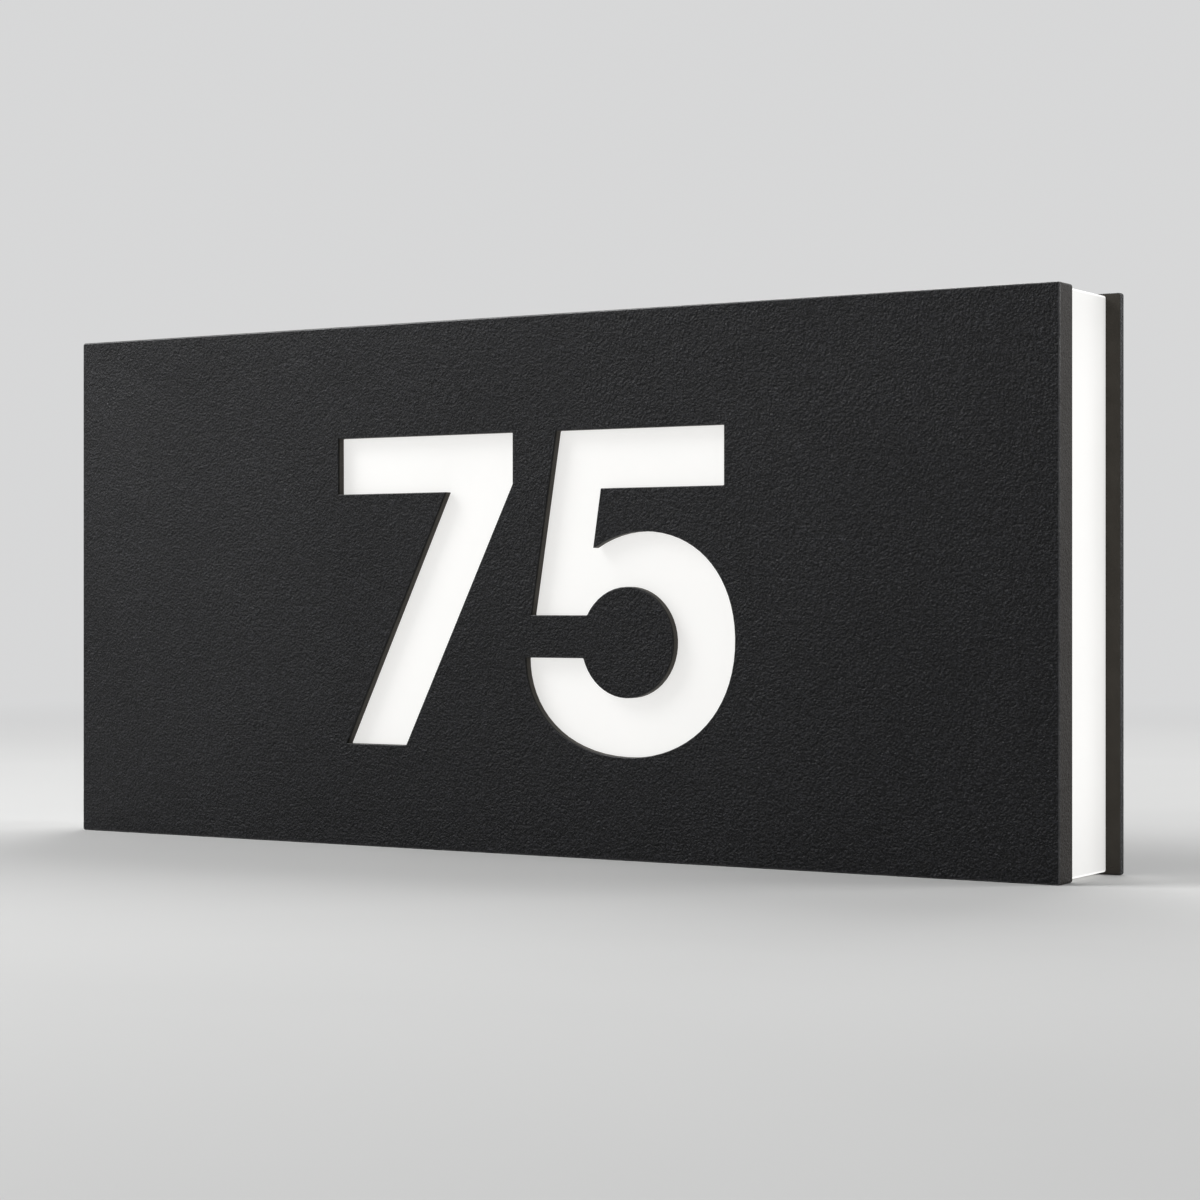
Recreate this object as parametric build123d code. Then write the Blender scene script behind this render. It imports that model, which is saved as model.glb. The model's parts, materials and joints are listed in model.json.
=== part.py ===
from build123d import *
import math
import os

# Illuminated house number sign: a black front cover with the number cut through it, an opal
# light hood that glows through the number and all round the edge, and a black wall plate that
# the lit unit hangs on. Sizes are in millimetres. X runs along the sign, Y from its front to
# the wall and Z up, with the origin under the middle of the sign, where it can stand.

# Front cover
cover_width = 430.0
cover_height = 200.0
cover_depth = 11.0
cover_face = 4.0
cover_rim = 3.0
cover_corner = 1.0
cover_edge = 0.8
rim_clearance = 0.2

# Tape between the cover's face and the hood
tape_thickness = 0.6
tape_width = 12.0
tape_spacing = 1.0
tape_from_number = 20.0

# The number, measured from the middle of the cover
number_top = 56.8
number_foot = -60.8
bar_height = 21.6
seven_left = -83.6
seven_right = -2.6
seven_inner = -33.0
seven_shoulder = 19.2
seven_foot_left = -79.4
seven_foot_width = 28.1
five_left = 16.5
five_right = 87.5
five_inner = 36.0
notch_x = 32.7
notch_z = 13.4
stem_foot_x = 5.6
stem_foot_z = -11.1
hook_tip_x = 3.1
hook_top_z = -26.8
bowl_top_x = 54.0
bowl_top_z = 19.3
bowl_right_x = 92.0
bowl_right_z = -20.0
bowl_bottom_x = 47.3
bowl_bottom_z = -62.6
bowl_pull = 0.59
counter_x = 47.1
counter_z = -20.9
counter_half_width = 19.5
counter_half_height = 20.2

# Light hood, an opal box that is open to the wall
band_depth = 32.0
hood_inset = 1.0
hood_wall = 5.0
hood_face = 4.0
hood_corner = 0.8
hood_edge = 0.6
seal_width = 2.0
seal_seat = 1.4
seal_proud = 0.6

# Wall plate
hang_gap = 0.3
plate_thickness = 3.0
plate_overhang = 4.0
plate_corner = 1.0
plate_edge = 0.5
wall_slot_width = 5.5
wall_slot_length = 12.0
wall_slot_from_side = 34.0
wall_slot_from_edge = 40.0

# Keyhole hangers on the lit unit, and the studs that they drop on
hanger_sheet = 1.5
hanger_crown = 18.0
hanger_flange = 10.0
hanger_length = 130.0
hanger_from_side = 99.0
studs_up = 80.0
stud_shank_radius = 2.5
stud_head_radius = 5.0
stud_head_height = 2.0
stud_collar_radius = 4.5
stud_tail_radius = 3.0
stud_clearance = 0.3
stud_head_clearance = 0.5
lift_travel = 9.0
rivet_radius = 1.6
rivet_head_radius = 3.0
rivet_head_height = 1.0
rivet_tail_radius = 2.6
rivet_tail_height = 0.8
rivet_from_end = 13.0

# Back panel, its gasket and the ledge that it is screwed to
recess_spare = 2.0
panel_thickness = 2.0
panel_clearance = 0.5
gasket_thickness = 1.0
ledge_width = 9.0
ledge_depth = 8.0
insert_radius = 2.4
insert_length = 6.0

# Screws: M3 with a pan head, and the small screws of the terminal block
screw_radius = 1.5
screw_head_radius = 2.8
screw_head_height = 2.0
drive_length = 3.6
drive_width = 0.8
drive_depth = 1.2
hole_clearance = 0.2
fit_clearance = 0.05
terminal_screw_radius = 1.2
terminal_slot_width = 0.6
terminal_slot_depth = 1.0

# Light strips and the tray that carries them
box_height = 10.0
tray_gap = 1.5
tray_thickness = 1.5
tray_margin = 11.5
tray_flange = 5.0
standoff_radius = 3.2
standoff_from_side = 32.5
thread_depth = 5.0
strip_count = 5
strip_from_edge = 14.5
strip_from_side = 17.5
strip_width = 10.0
strip_thickness = 1.2
chip_pitch = 23.5
chip_from_end = 13.0
chip_size = 5.0
chip_height = 1.0
link_width = 8.0
link_thickness = 0.3
link_overlap = 3.0
link_from_end = 1.0

# Connector that feeds the first strip
feed_length = 16.0
feed_width = 12.0
feed_height = 4.5
feed_grip = 2.0
feed_lead_spacing = 5.0

# LED driver
driver_from_block = 36.0
driver_length = 150.0
driver_width = 30.0
driver_shell = 1.2
board_thickness = 1.2
board_margin = 1.0
driver_lug_length = 10.0
driver_lug_width = 12.0
driver_lug_thickness = 1.5
driver_lug_z = 9.0
driver_lead_spacing = 8.0
driver_pin_length = 6.0
driver_pin_height = 5.0
transformer_length = 22.0
transformer_width = 18.0
transformer_height = 6.0
winding_length = 11.0
winding_swell = 1.0
capacitor_radius = 2.8
capacitor_length = 14.0
capacitor_x = 38.0

# Terminal block, with one brass clamp tube for each pole
block_from_saddle = 29.0
block_length = 18.0
pole_count = 3
pole_pitch = 8.0
block_shoulder = 1.0
clamp_tube_radius = 2.2
clamp_tube_recess = 1.0
terminal_screws_apart = 9.0
block_ear_length = 10.0
block_ear_width = 7.0
block_ear_height = 3.0

# Cable entry and cable clamp
cable_from_hanger = 21.0
cable_radius = 4.0
grommet_neck = 4.0
grommet_flange = 2.5
grommet_lip = 1.5
saddle_from_cable = 26.0
saddle_length = 8.0
saddle_width = 14.0
saddle_height = 9.5
saddle_ear_width = 7.0
saddle_ear_height = 3.0

# Earth connection
earth_from_block = 25.0
earth_z = -42.0
earth_stud_radius = 2.0
earth_stud_length = 9.0
tag_radius = 4.0
tag_thickness = 0.8
tag_barrel_radius = 2.0
tag_barrel_length = 6.0
tag_barrel_floor = 1.0
tag_neck = 4.0
nut_radius = 4.0
nut_height = 3.2

# Internal leads
mains_lead_radius = 1.2
feed_lead_radius = 0.9
lead_grip = 5.0
mains_straight_share = 0.3

# Way of the feed leads: shares of the run along, of the run up, and of the leads' spacing
feed_route = [(0.27, 0.0, 1.0), (0.64, 0.08, 1.2), (0.91, 0.45, 0.5), (1.0, 0.8, 0.3)]

# Depths, from the front of the cover to the back of the wall plate
total_depth = cover_depth + band_depth + seal_proud + hang_gap + plate_thickness
front_y = -total_depth / 2
face_back_y = front_y + cover_face
rim_end_y = front_y + cover_depth
hood_front_y = face_back_y + tape_thickness
hood_floor_y = hood_front_y + hood_face
hood_back_y = rim_end_y + band_depth
plate_front_y = hood_back_y + seal_proud + hang_gap
plate_back_y = plate_front_y + plate_thickness
hanger_height = hanger_sheet + stud_head_height + 2 * stud_head_clearance
panel_back_y = hood_back_y - hanger_height - recess_spare
panel_front_y = panel_back_y - panel_thickness
hanger_back_y = panel_back_y + hanger_height
ledge_back_y = panel_front_y - gasket_thickness
ledge_front_y = ledge_back_y - ledge_depth
box_front_y = panel_front_y - box_height
tray_back_y = box_front_y - tray_gap
tray_front_y = tray_back_y - tray_thickness
strip_front_y = tray_front_y - strip_thickness
lead_y = panel_front_y - box_height / 2
driver_floor_y = panel_front_y - driver_shell
board_front_y = driver_floor_y - board_thickness

# Widths and heights
mid_z = cover_height / 2
cover_inner_width = cover_width - 2 * cover_rim
cover_inner_height = cover_height - 2 * cover_rim
nose_width = cover_inner_width - 2 * rim_clearance
nose_height = cover_inner_height - 2 * rim_clearance
hood_width = cover_width - 2 * hood_inset
hood_height = cover_height - 2 * hood_inset
cavity_width = hood_width - 2 * hood_wall
cavity_height = hood_height - 2 * hood_wall
tray_width = cavity_width - 2 * tray_margin
tray_height = cavity_height - 2 * tray_margin
plate_width = cover_width + 2 * plate_overhang
strip_length = tray_width - 2 * strip_from_side
strip_pitch = (tray_height - 2 * strip_from_edge) / (strip_count - 1)
chip_count = int((strip_length - 2 * chip_from_end) / chip_pitch) + 1
strip_heights = [(strip_count - 1) * strip_pitch / 2 - i * strip_pitch for i in range(strip_count)]
block_width = pole_count * pole_pitch + 2 * block_shoulder
pole_heights = [(pole_count - 1) * pole_pitch / 2 - i * pole_pitch for i in range(pole_count)]

# Places along the sign, from the hangers inwards
hanger_x = cavity_width / 2 - hanger_from_side
hanger_width = hanger_crown + 2 * hanger_flange
cable_x = hanger_x + hanger_width / 2 + cable_from_hanger
saddle_x = cable_x - saddle_from_cable
block_x = saddle_x - block_from_saddle
driver_x = block_x - (block_length + driver_length) / 2 - driver_from_block
earth_x = block_x - earth_from_block
feed_x = -strip_length / 2 + feed_grip - feed_length / 2


# Rows and rings of places, as (x, z) from the middle of the sign
def corners(across, up):
    return [(sx * across / 2, sz * up / 2) for sx in (-1, 1) for sz in (-1, 1)]


def panel_screw_places():
    across = cavity_width - ledge_width
    up = cavity_height - ledge_width
    return corners(across, up) + corners(0, up)[:2] + corners(across, 0)[::2]


def standoff_places():
    across = tray_width - 2 * standoff_from_side
    up = (strip_count - 2) * strip_pitch
    return corners(across, up) + corners(0, up)[:2]


def stud_places():
    return corners(2 * hanger_x, studs_up)


def rivet_places(middle):
    across = hanger_crown + hanger_flange
    return [(middle + x, z) for x, z in corners(across, hanger_length - 2 * rivet_from_end)]


def driver_screw_places():
    reach = (driver_length + driver_lug_length) / 2
    return [(driver_x + reach, driver_lug_z), (driver_x - reach, -driver_lug_z)]


def ear_places(x, body_width, ear_width):
    return [(x + dx, dz) for dx, dz in corners(0, body_width + ear_width)[:2]]


def block_screw_places():
    return ear_places(block_x, block_width, block_ear_width)


def saddle_screw_places():
    return ear_places(saddle_x, saddle_width, saddle_ear_width)


def terminal_screw_places():
    reach = terminal_screws_apart / 2
    return [(block_x + side * reach, z) for z in pole_heights for side in (-1, 1)]


# A flat outline, drawn as seen from the front, made solid between two depths
def block(outline, near_y, far_y):
    seat = Plane(origin=(0, far_y, mid_z), x_dir=(1, 0, 0), z_dir=(0, -1, 0))
    return extrude(seat * outline, amount=far_y - near_y)


# A profile in Y and Z, made solid along X
def rail(outline, left_x, right_x):
    seat = Plane(origin=(left_x, 0, mid_z), x_dir=(0, 1, 0), z_dir=(1, 0, 0))
    return extrude(seat * outline, amount=right_x - left_x)


# A profile in X and Y, made solid upwards
def post(outline, low_z, high_z):
    seat = Plane(origin=(0, 0, mid_z + low_z), x_dir=(1, 0, 0), z_dir=(0, 0, 1))
    return extrude(seat * outline, amount=high_z - low_z)


def spread(places, outline):
    return Sketch() + [Pos(x, z) * outline for x, z in places]


def discs(places, radius, near_y, far_y):
    return block(spread(places, Circle(radius)), near_y, far_y)


def ring(width, height, band):
    return Rectangle(width, height) - Rectangle(width - 2 * band, height - 2 * band)


# Screws whose heads bear on one depth and whose tips end at another
def screws(places, bearing_y, tip_y):
    inward = math.copysign(1, tip_y - bearing_y)
    crown_y = bearing_y - inward * screw_head_height
    drive_y = crown_y + inward * drive_depth
    cross = Rectangle(drive_length, drive_width) + Rectangle(drive_width, drive_length)
    shank = discs(places, screw_radius, min(bearing_y, tip_y), max(bearing_y, tip_y))
    head = discs(places, screw_head_radius, min(bearing_y, crown_y), max(bearing_y, crown_y))
    drive = block(spread(places, cross), min(crown_y, drive_y), max(crown_y, drive_y))
    return head + shank - drive


# A round lead along straight runs joined by arcs as large as the runs allow
def lead(name, places, radius):
    points = [Vector(x, y, mid_z + z) for x, y, z in places]
    bends = []
    for before, here, after in zip(points, points[1:], points[2:]):
        turn = math.radians((here - before).get_angle(after - here))
        shorter = min((here - before).length, (after - here).length)
        bends.append(0.45 * shorter / math.tan(turn / 2))
    path = FilletPolyline(*points, radius=bends)
    section = Plane(origin=path @ 0, z_dir=path % 0) * Circle(radius)
    tube = sweep(section, path=path)
    expected = math.pi * radius**2 * path.length
    print(name, "smallest bend", round(min(bends), 1), "volume share", round(tube.volume / expected, 4))
    return tube


# The figure 7, straight strokes only
def seven():
    foot_right = seven_foot_left + seven_foot_width
    return make_face(
        Polyline(
            (seven_left, number_top),
            (seven_right, number_top),
            (seven_right, number_top - seven_shoulder),
            (foot_right, number_foot),
            (seven_foot_left, number_foot),
            (seven_inner, number_top - bar_height),
            (seven_left, number_top - bar_height),
            close=True,
        )
    )


# A quarter of the 5's bowl, level where it starts and upright where it ends
def bowl_quarter(start, end):
    level = (start[0] + bowl_pull * (end[0] - start[0]), start[1])
    upright = (end[0], end[1] + bowl_pull * (start[1] - end[1]))
    return Bezier(start, level, upright, end)


# The figure 5: a stem and bar, a round bowl, and the opening to its counter
def five():
    notch = (notch_x, notch_z)
    bowl_top = (bowl_top_x, bowl_top_z)
    bowl_bottom = (bowl_bottom_x, bowl_bottom_z)
    bowl_right = (bowl_right_x, bowl_right_z)
    hook_tip = (hook_tip_x, hook_top_z)
    stem = Polyline(
        hook_tip,
        (stem_foot_x, stem_foot_z),
        (five_left, number_top),
        (five_right, number_top),
        (five_right, number_top - bar_height),
        (five_inner, number_top - bar_height),
        notch,
    )
    crown = TangentArc(bowl_top, notch, tangent=(-1, 0))
    bowl = [bowl_quarter(bowl_top, bowl_right), bowl_quarter(bowl_bottom, bowl_right)]
    hook = bowl_quarter(bowl_bottom, hook_tip)
    body = make_face([stem, crown, *bowl, hook])
    counter = Pos(counter_x, counter_z) * Ellipse(counter_half_width, counter_half_height)
    mouth_height = stem_foot_z - hook_top_z
    mouth_left = min(stem_foot_x, hook_tip_x) - bar_height
    mouth = Rectangle(counter_x - mouth_left, mouth_height, align=(Align.MIN, Align.MIN))
    return body - counter - Pos(mouth_left, hook_top_z) * mouth


def front_cover():
    outline = RectangleRounded(cover_width, cover_height, cover_corner)
    shell = block(outline, front_y, rim_end_y)
    shell = fillet(shell.faces().sort_by(Axis.Y)[0].edges(), cover_edge)
    pocket = block(Rectangle(cover_inner_width, cover_inner_height), face_back_y, rim_end_y)
    return shell - pocket - block(seven() + five(), front_y, face_back_y)


def cover_tape():
    long_side = nose_width - 2 * tape_spacing
    short_side = nose_height - 2 * (tape_width + 2 * tape_spacing)
    reach_x = (nose_width - tape_width) / 2 - tape_spacing
    reach_z = (nose_height - tape_width) / 2 - tape_spacing
    level = spread([(0, reach_z), (0, -reach_z)], Rectangle(long_side, tape_width))
    number_left = seven_left - tape_from_number
    number_right = bowl_right_x + tape_from_number
    places = [(x, 0) for x in (-reach_x, number_left, number_right, reach_x)]
    upright = spread(places, Rectangle(tape_width, short_side))
    return block(level + upright, face_back_y, hood_front_y)


def seal_ring():
    return ring(hood_width - hood_wall + seal_width, hood_height - hood_wall + seal_width, seal_width)


def light_hood():
    band = block(RectangleRounded(hood_width, hood_height, hood_corner), rim_end_y, hood_back_y)
    band = fillet(band.faces().sort_by(Axis.Y)[-1].edges(), hood_edge)
    nose = block(Rectangle(nose_width, nose_height), hood_front_y, rim_end_y)
    cavity = block(Rectangle(cavity_width, cavity_height), hood_floor_y, hood_back_y)
    groove = block(seal_ring(), hood_back_y - seal_seat, hood_back_y)
    return band + nose - cavity - groove


def rear_seal():
    return block(seal_ring(), hood_back_y - seal_seat, hood_back_y + seal_proud)


def ledge_frame():
    frame = block(ring(cavity_width, cavity_height, ledge_width), ledge_front_y, ledge_back_y)
    seats = discs(
        panel_screw_places(),
        insert_radius + fit_clearance,
        ledge_back_y - insert_length - fit_clearance,
        ledge_back_y,
    )
    return frame - seats


def ledge_inserts():
    near_y = ledge_back_y - insert_length
    sleeves = discs(panel_screw_places(), insert_radius, near_y, ledge_back_y)
    return sleeves - discs(panel_screw_places(), screw_radius + fit_clearance, near_y, ledge_back_y)


def panel_gasket():
    band = block(ring(cavity_width - 2 * panel_clearance, cavity_height - 2 * panel_clearance,
                      ledge_width - panel_clearance), ledge_back_y, panel_front_y)
    return band - discs(panel_screw_places(), screw_radius + hole_clearance, ledge_back_y, panel_front_y)


def back_panel():
    outline = Rectangle(cavity_width - 2 * panel_clearance, cavity_height - 2 * panel_clearance)
    outline -= spread(panel_screw_places() + standoff_places(), Circle(screw_radius + hole_clearance))
    tapped = driver_screw_places() + block_screw_places() + saddle_screw_places()
    outline -= spread(tapped, Circle(screw_radius + fit_clearance))
    rivets = rivet_places(-hanger_x) + rivet_places(hanger_x)
    outline -= spread(rivets, Circle(rivet_radius + fit_clearance))
    outline -= Pos(earth_x, earth_z) * Circle(earth_stud_radius + fit_clearance)
    outline -= Pos(cable_x, 0) * Circle(cable_radius + grommet_neck + fit_clearance)
    return block(outline, panel_front_y, panel_back_y)


def panel_screws():
    return screws(panel_screw_places(), panel_back_y, ledge_back_y - insert_length + screw_radius)


# A keyhole: round entry for the stud's head, with a slot above it for the shank
def keyhole():
    slot_radius = stud_shank_radius + stud_clearance
    entry = Circle(stud_head_radius + stud_clearance)
    slot = Pos(0, lift_travel / 2) * Rectangle(2 * slot_radius, lift_travel)
    return entry + slot + Pos(0, lift_travel) * Circle(slot_radius)


# A strip of hat section: two flanges on the panel and a crown that stands off it
def hanger(x):
    foot = block(Pos(x, 0) * Rectangle(hanger_width, hanger_length),
                 panel_back_y, panel_back_y + hanger_sheet)
    crown = block(Pos(x, 0) * Rectangle(hanger_crown, hanger_length), panel_back_y, hanger_back_y)
    inside = block(Pos(x, 0) * Rectangle(hanger_crown - 2 * hanger_sheet, hanger_length),
                   panel_back_y, hanger_back_y - hanger_sheet)
    places = [(x, z - lift_travel) for sx, z in stud_places()[:2]]
    keyholes = block(spread(places, keyhole()), hanger_back_y - hanger_sheet, hanger_back_y)
    holes = discs(rivet_places(x), rivet_radius + fit_clearance, panel_back_y, hanger_back_y)
    return foot + crown - inside - keyholes - holes


def hanger_rivets():
    places = rivet_places(-hanger_x) + rivet_places(hanger_x)
    flange_y = panel_back_y + hanger_sheet
    shank = discs(places, rivet_radius, panel_front_y, flange_y)
    head = discs(places, rivet_head_radius, flange_y, flange_y + rivet_head_height)
    tail = discs(places, rivet_tail_radius, panel_front_y - rivet_tail_height, panel_front_y)
    return shank + head + tail


def hanging_studs():
    slide_y = hanger_back_y - hanger_sheet - stud_head_clearance
    head = discs(stud_places(), stud_head_radius, slide_y - stud_head_height, slide_y)
    shank = discs(stud_places(), stud_shank_radius, slide_y, plate_front_y)
    collar = discs(stud_places(), stud_collar_radius, hanger_back_y + stud_clearance, plate_front_y)
    tail = discs(stud_places(), stud_tail_radius, plate_front_y, plate_back_y)
    return head + shank + collar + tail


def wall_plate():
    outline = RectangleRounded(plate_width, cover_height, plate_corner)
    plate = block(outline, plate_front_y, plate_back_y)
    flat_faces = plate.faces().sort_by(Axis.Y)
    plate = fillet(flat_faces[0].edges() + flat_faces[-1].edges(), plate_edge)
    slots_across = plate_width - 2 * wall_slot_from_side
    slots_up = cover_height - 2 * wall_slot_from_edge
    slots = spread(corners(slots_across, slots_up), SlotOverall(wall_slot_length, wall_slot_width))
    stud_holes = spread(stud_places(), Circle(stud_tail_radius + fit_clearance))
    neck_hole = Pos(cable_x, 0) * Circle(cable_radius + grommet_neck + fit_clearance)
    plate -= block(slots + stud_holes + neck_hole, plate_front_y, plate_back_y)
    lip_radius = cable_radius + grommet_neck + grommet_flange + fit_clearance
    return plate - discs([(cable_x, 0)], lip_radius, plate_back_y - grommet_lip, plate_back_y)


# A rubber grommet with a lip on each side of the sheet that it sits in
def grommet(near_y, far_y, sheet_front_y, sheet_back_y):
    neck_radius = cable_radius + grommet_neck
    lips = discs([(cable_x, 0)], neck_radius + grommet_flange, near_y, sheet_front_y)
    lips += discs([(cable_x, 0)], neck_radius + grommet_flange, sheet_back_y, far_y)
    neck = discs([(cable_x, 0)], neck_radius, near_y, far_y)
    return lips + neck - discs([(cable_x, 0)], cable_radius, near_y, far_y)


def wall_grommet():
    return grommet(plate_front_y - grommet_lip, plate_back_y, plate_front_y, plate_back_y - grommet_lip)


def panel_grommet():
    return grommet(panel_front_y - grommet_lip, panel_back_y + grommet_lip, panel_front_y, panel_back_y)


def led_tray():
    outline = Rectangle(tray_width, tray_height)
    outline -= spread(standoff_places(), Circle(screw_radius + hole_clearance))
    lead_hole = SlotOverall(feed_lead_spacing + 4 * feed_lead_radius, 4 * feed_lead_radius)
    outline -= Pos(feed_x, strip_heights[0]) * lead_hole
    sheet = block(outline, tray_front_y, tray_back_y)
    reach = (tray_height - tray_thickness) / 2
    flanges = spread([(0, reach), (0, -reach)], Rectangle(tray_width, tray_thickness))
    return sheet + block(flanges, tray_back_y, tray_back_y + tray_flange)


def tray_standoffs():
    pillars = block(spread(standoff_places(), RegularPolygon(standoff_radius, 6)),
                    tray_back_y, panel_front_y)
    bore = screw_radius + fit_clearance
    pillars -= discs(standoff_places(), bore, tray_back_y, tray_back_y + thread_depth)
    return pillars - discs(standoff_places(), bore, panel_front_y - thread_depth, panel_front_y)


def standoff_screws():
    return screws(standoff_places(), panel_back_y, panel_front_y - thread_depth + screw_radius)


def tray_screws():
    return screws(standoff_places(), tray_front_y, tray_back_y + thread_depth - screw_radius)


def led_strip(row):
    strip = Pos(0, strip_heights[row]) * Rectangle(strip_length, strip_width)
    return block(strip, strip_front_y, tray_front_y)


def led_chips(row):
    first = -(chip_count - 1) * chip_pitch / 2
    places = [(first + i * chip_pitch, strip_heights[row]) for i in range(chip_count)]
    return block(spread(places, Rectangle(chip_size, chip_size)),
                 strip_front_y - chip_height, strip_front_y)


# Flat links that join one strip to the next, at the right and left ends in turn
def strip_links():
    reach = (strip_length - link_width) / 2 - link_from_end
    length = strip_pitch - strip_width + 2 * link_overlap
    places = []
    for row in range(strip_count - 1):
        side = 1 if row % 2 == 0 else -1
        places.append((side * reach, strip_heights[row] - strip_pitch / 2))
    return block(spread(places, Rectangle(link_width, length)),
                 strip_front_y - link_thickness, strip_front_y)


def feed_connector():
    row_z = strip_heights[0]
    body = block(Pos(feed_x, row_z) * Rectangle(feed_length, feed_width),
                 tray_front_y - feed_height, tray_front_y)
    strip_end = Pos(0, row_z) * Rectangle(strip_length + 2 * fit_clearance, strip_width + 2 * fit_clearance)
    return body - block(strip_end, strip_front_y - fit_clearance, tray_front_y)


# Lead holes through the driver's end walls
def driver_lead_holes():
    spacing = driver_lead_spacing / 2
    places = [(lead_y, spacing), (lead_y, -spacing)]
    reach = driver_length / 2
    return rail(spread(places, Circle(mains_lead_radius + hole_clearance)),
                driver_x - reach, driver_x + reach)


def driver_case():
    lid_y = box_front_y + driver_shell
    body = block(Pos(driver_x, 0) * RectangleRounded(driver_length, driver_width, driver_shell),
                 lid_y, panel_front_y)
    inside = Rectangle(driver_length - 2 * driver_shell, driver_width - 2 * driver_shell)
    body -= block(Pos(driver_x, 0) * inside, lid_y, driver_floor_y)
    body -= driver_lead_holes()
    lugs = block(spread(driver_screw_places(), Rectangle(driver_lug_length, driver_lug_width)),
                 panel_front_y - driver_lug_thickness, panel_front_y)
    holes = discs(driver_screw_places(), screw_radius + hole_clearance,
                  panel_front_y - driver_lug_thickness, panel_front_y)
    return body + lugs - holes


def driver_lid():
    outline = Pos(driver_x, 0) * RectangleRounded(driver_length, driver_width, driver_shell)
    return block(outline, box_front_y, box_front_y + driver_shell)


def driver_screws():
    return screws(driver_screw_places(), panel_front_y - driver_lug_thickness, panel_back_y)


def driver_board():
    length = driver_length - 2 * (driver_shell + board_margin)
    width = driver_width - 2 * (driver_shell + board_margin)
    return block(Pos(driver_x, 0) * Rectangle(length, width), board_front_y, driver_floor_y)


# Where the faces of the driver's pin blocks stand, left and right
def driver_pin_face():
    return driver_length / 2 - driver_shell - board_margin


def driver_terminals():
    reach = driver_pin_face() - driver_pin_length / 2
    places = [(driver_x - reach, 0), (driver_x + reach, 0)]
    width = driver_lead_spacing + 4 * mains_lead_radius
    return block(spread(places, Rectangle(driver_pin_length, width)),
                 board_front_y - driver_pin_height, board_front_y)


def driver_transformer():
    core = Rectangle(transformer_length, transformer_width)
    winding = Rectangle(winding_length, transformer_width + 2 * winding_swell)
    return block(Pos(driver_x, 0) * (core + winding), board_front_y - transformer_height, board_front_y)


def driver_capacitors():
    axis_y = board_front_y - capacitor_radius - fit_clearance
    can = Pos(axis_y, 0) * Circle(capacitor_radius)
    cans = Part()
    for side in (-1, 1):
        middle = driver_x + side * capacitor_x
        cans += rail(can, middle - capacitor_length / 2, middle + capacitor_length / 2)
    return cans


# Tubes or bores along X at each pole of the terminal block
def pole_tubes(radius, recess):
    reach = block_length / 2 - recess
    return rail(Sketch() + [Pos(lead_y, z) * Circle(radius) for z in pole_heights],
                block_x - reach, block_x + reach)


def terminal_block():
    body = block(Pos(block_x, 0) * RectangleRounded(block_length, block_width, 1.0),
                 box_front_y, panel_front_y)
    ears = block(spread(block_screw_places(), Rectangle(block_ear_length, block_ear_width)),
                 panel_front_y - block_ear_height, panel_front_y)
    holes = discs(block_screw_places(), screw_radius + hole_clearance,
                  panel_front_y - block_ear_height, panel_front_y)
    wells = discs(terminal_screw_places(), terminal_screw_radius + hole_clearance, box_front_y, lead_y)
    return body + ears - holes - wells - pole_tubes(clamp_tube_radius + fit_clearance, 0)


def terminal_clamps():
    tubes = pole_tubes(clamp_tube_radius, clamp_tube_recess)
    tubes -= pole_tubes(mains_lead_radius + fit_clearance, clamp_tube_recess)
    return tubes - discs(terminal_screw_places(), terminal_screw_radius + fit_clearance,
                         box_front_y, lead_y)


def terminal_screws():
    tip_y = lead_y - mains_lead_radius - fit_clearance
    shanks = discs(terminal_screw_places(), terminal_screw_radius, box_front_y, tip_y)
    slot = Rectangle(3 * terminal_screw_radius, terminal_slot_width)
    slot_floor_y = box_front_y + terminal_slot_depth
    return shanks - block(spread(terminal_screw_places(), slot), box_front_y, slot_floor_y)


def block_screws():
    return screws(block_screw_places(), panel_front_y - block_ear_height, panel_back_y)


def cable_clamp():
    arch = Rectangle(saddle_length, saddle_width)
    body = block(Pos(saddle_x, 0) * arch, panel_front_y - saddle_height, panel_front_y)
    ears = block(spread(saddle_screw_places(), Rectangle(saddle_length, saddle_ear_width)),
                 panel_front_y - saddle_ear_height, panel_front_y)
    holes = discs(saddle_screw_places(), screw_radius + hole_clearance,
                  panel_front_y - saddle_ear_height, panel_front_y)
    tunnel = Pos(panel_front_y - cable_radius, 0) * Circle(cable_radius)
    tunnel += Pos(panel_front_y - cable_radius / 2, 0) * Rectangle(cable_radius, 2 * cable_radius)
    reach = saddle_length / 2
    return body + ears - holes - rail(tunnel, saddle_x - reach, saddle_x + reach)


def clamp_screws():
    return screws(saddle_screw_places(), panel_front_y - saddle_ear_height, panel_back_y)


def earth_stud():
    return discs([(earth_x, earth_z)], earth_stud_radius, panel_front_y - earth_stud_length, panel_back_y)


# A ring tag: an eye on the stud, a neck, and a barrel that holds the lead
def tag_barrel_low():
    return earth_z + tag_radius + tag_neck


def earth_tag():
    axis_y = panel_front_y - tag_barrel_radius
    eye = Pos(earth_x, earth_z) * Circle(tag_radius)
    neck_length = tag_radius + tag_neck + tag_barrel_floor
    eye += Pos(earth_x, earth_z + neck_length / 2) * Rectangle(tag_radius, neck_length)
    eye -= Pos(earth_x, earth_z) * Circle(earth_stud_radius + fit_clearance)
    flat = block(eye, panel_front_y - tag_thickness, panel_front_y)
    low = tag_barrel_low()
    barrel = post(Pos(earth_x, axis_y) * Circle(tag_barrel_radius), low, low + tag_barrel_length)
    bore = post(Pos(earth_x, axis_y) * Circle(mains_lead_radius + fit_clearance),
                low + tag_barrel_floor, low + tag_barrel_length)
    return flat + barrel - bore


def earth_nut():
    nut = RegularPolygon(nut_radius, 6) - Circle(earth_stud_radius + fit_clearance)
    tag_face = panel_front_y - tag_thickness
    return block(Pos(earth_x, earth_z) * nut, tag_face - nut_height, tag_face)


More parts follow.
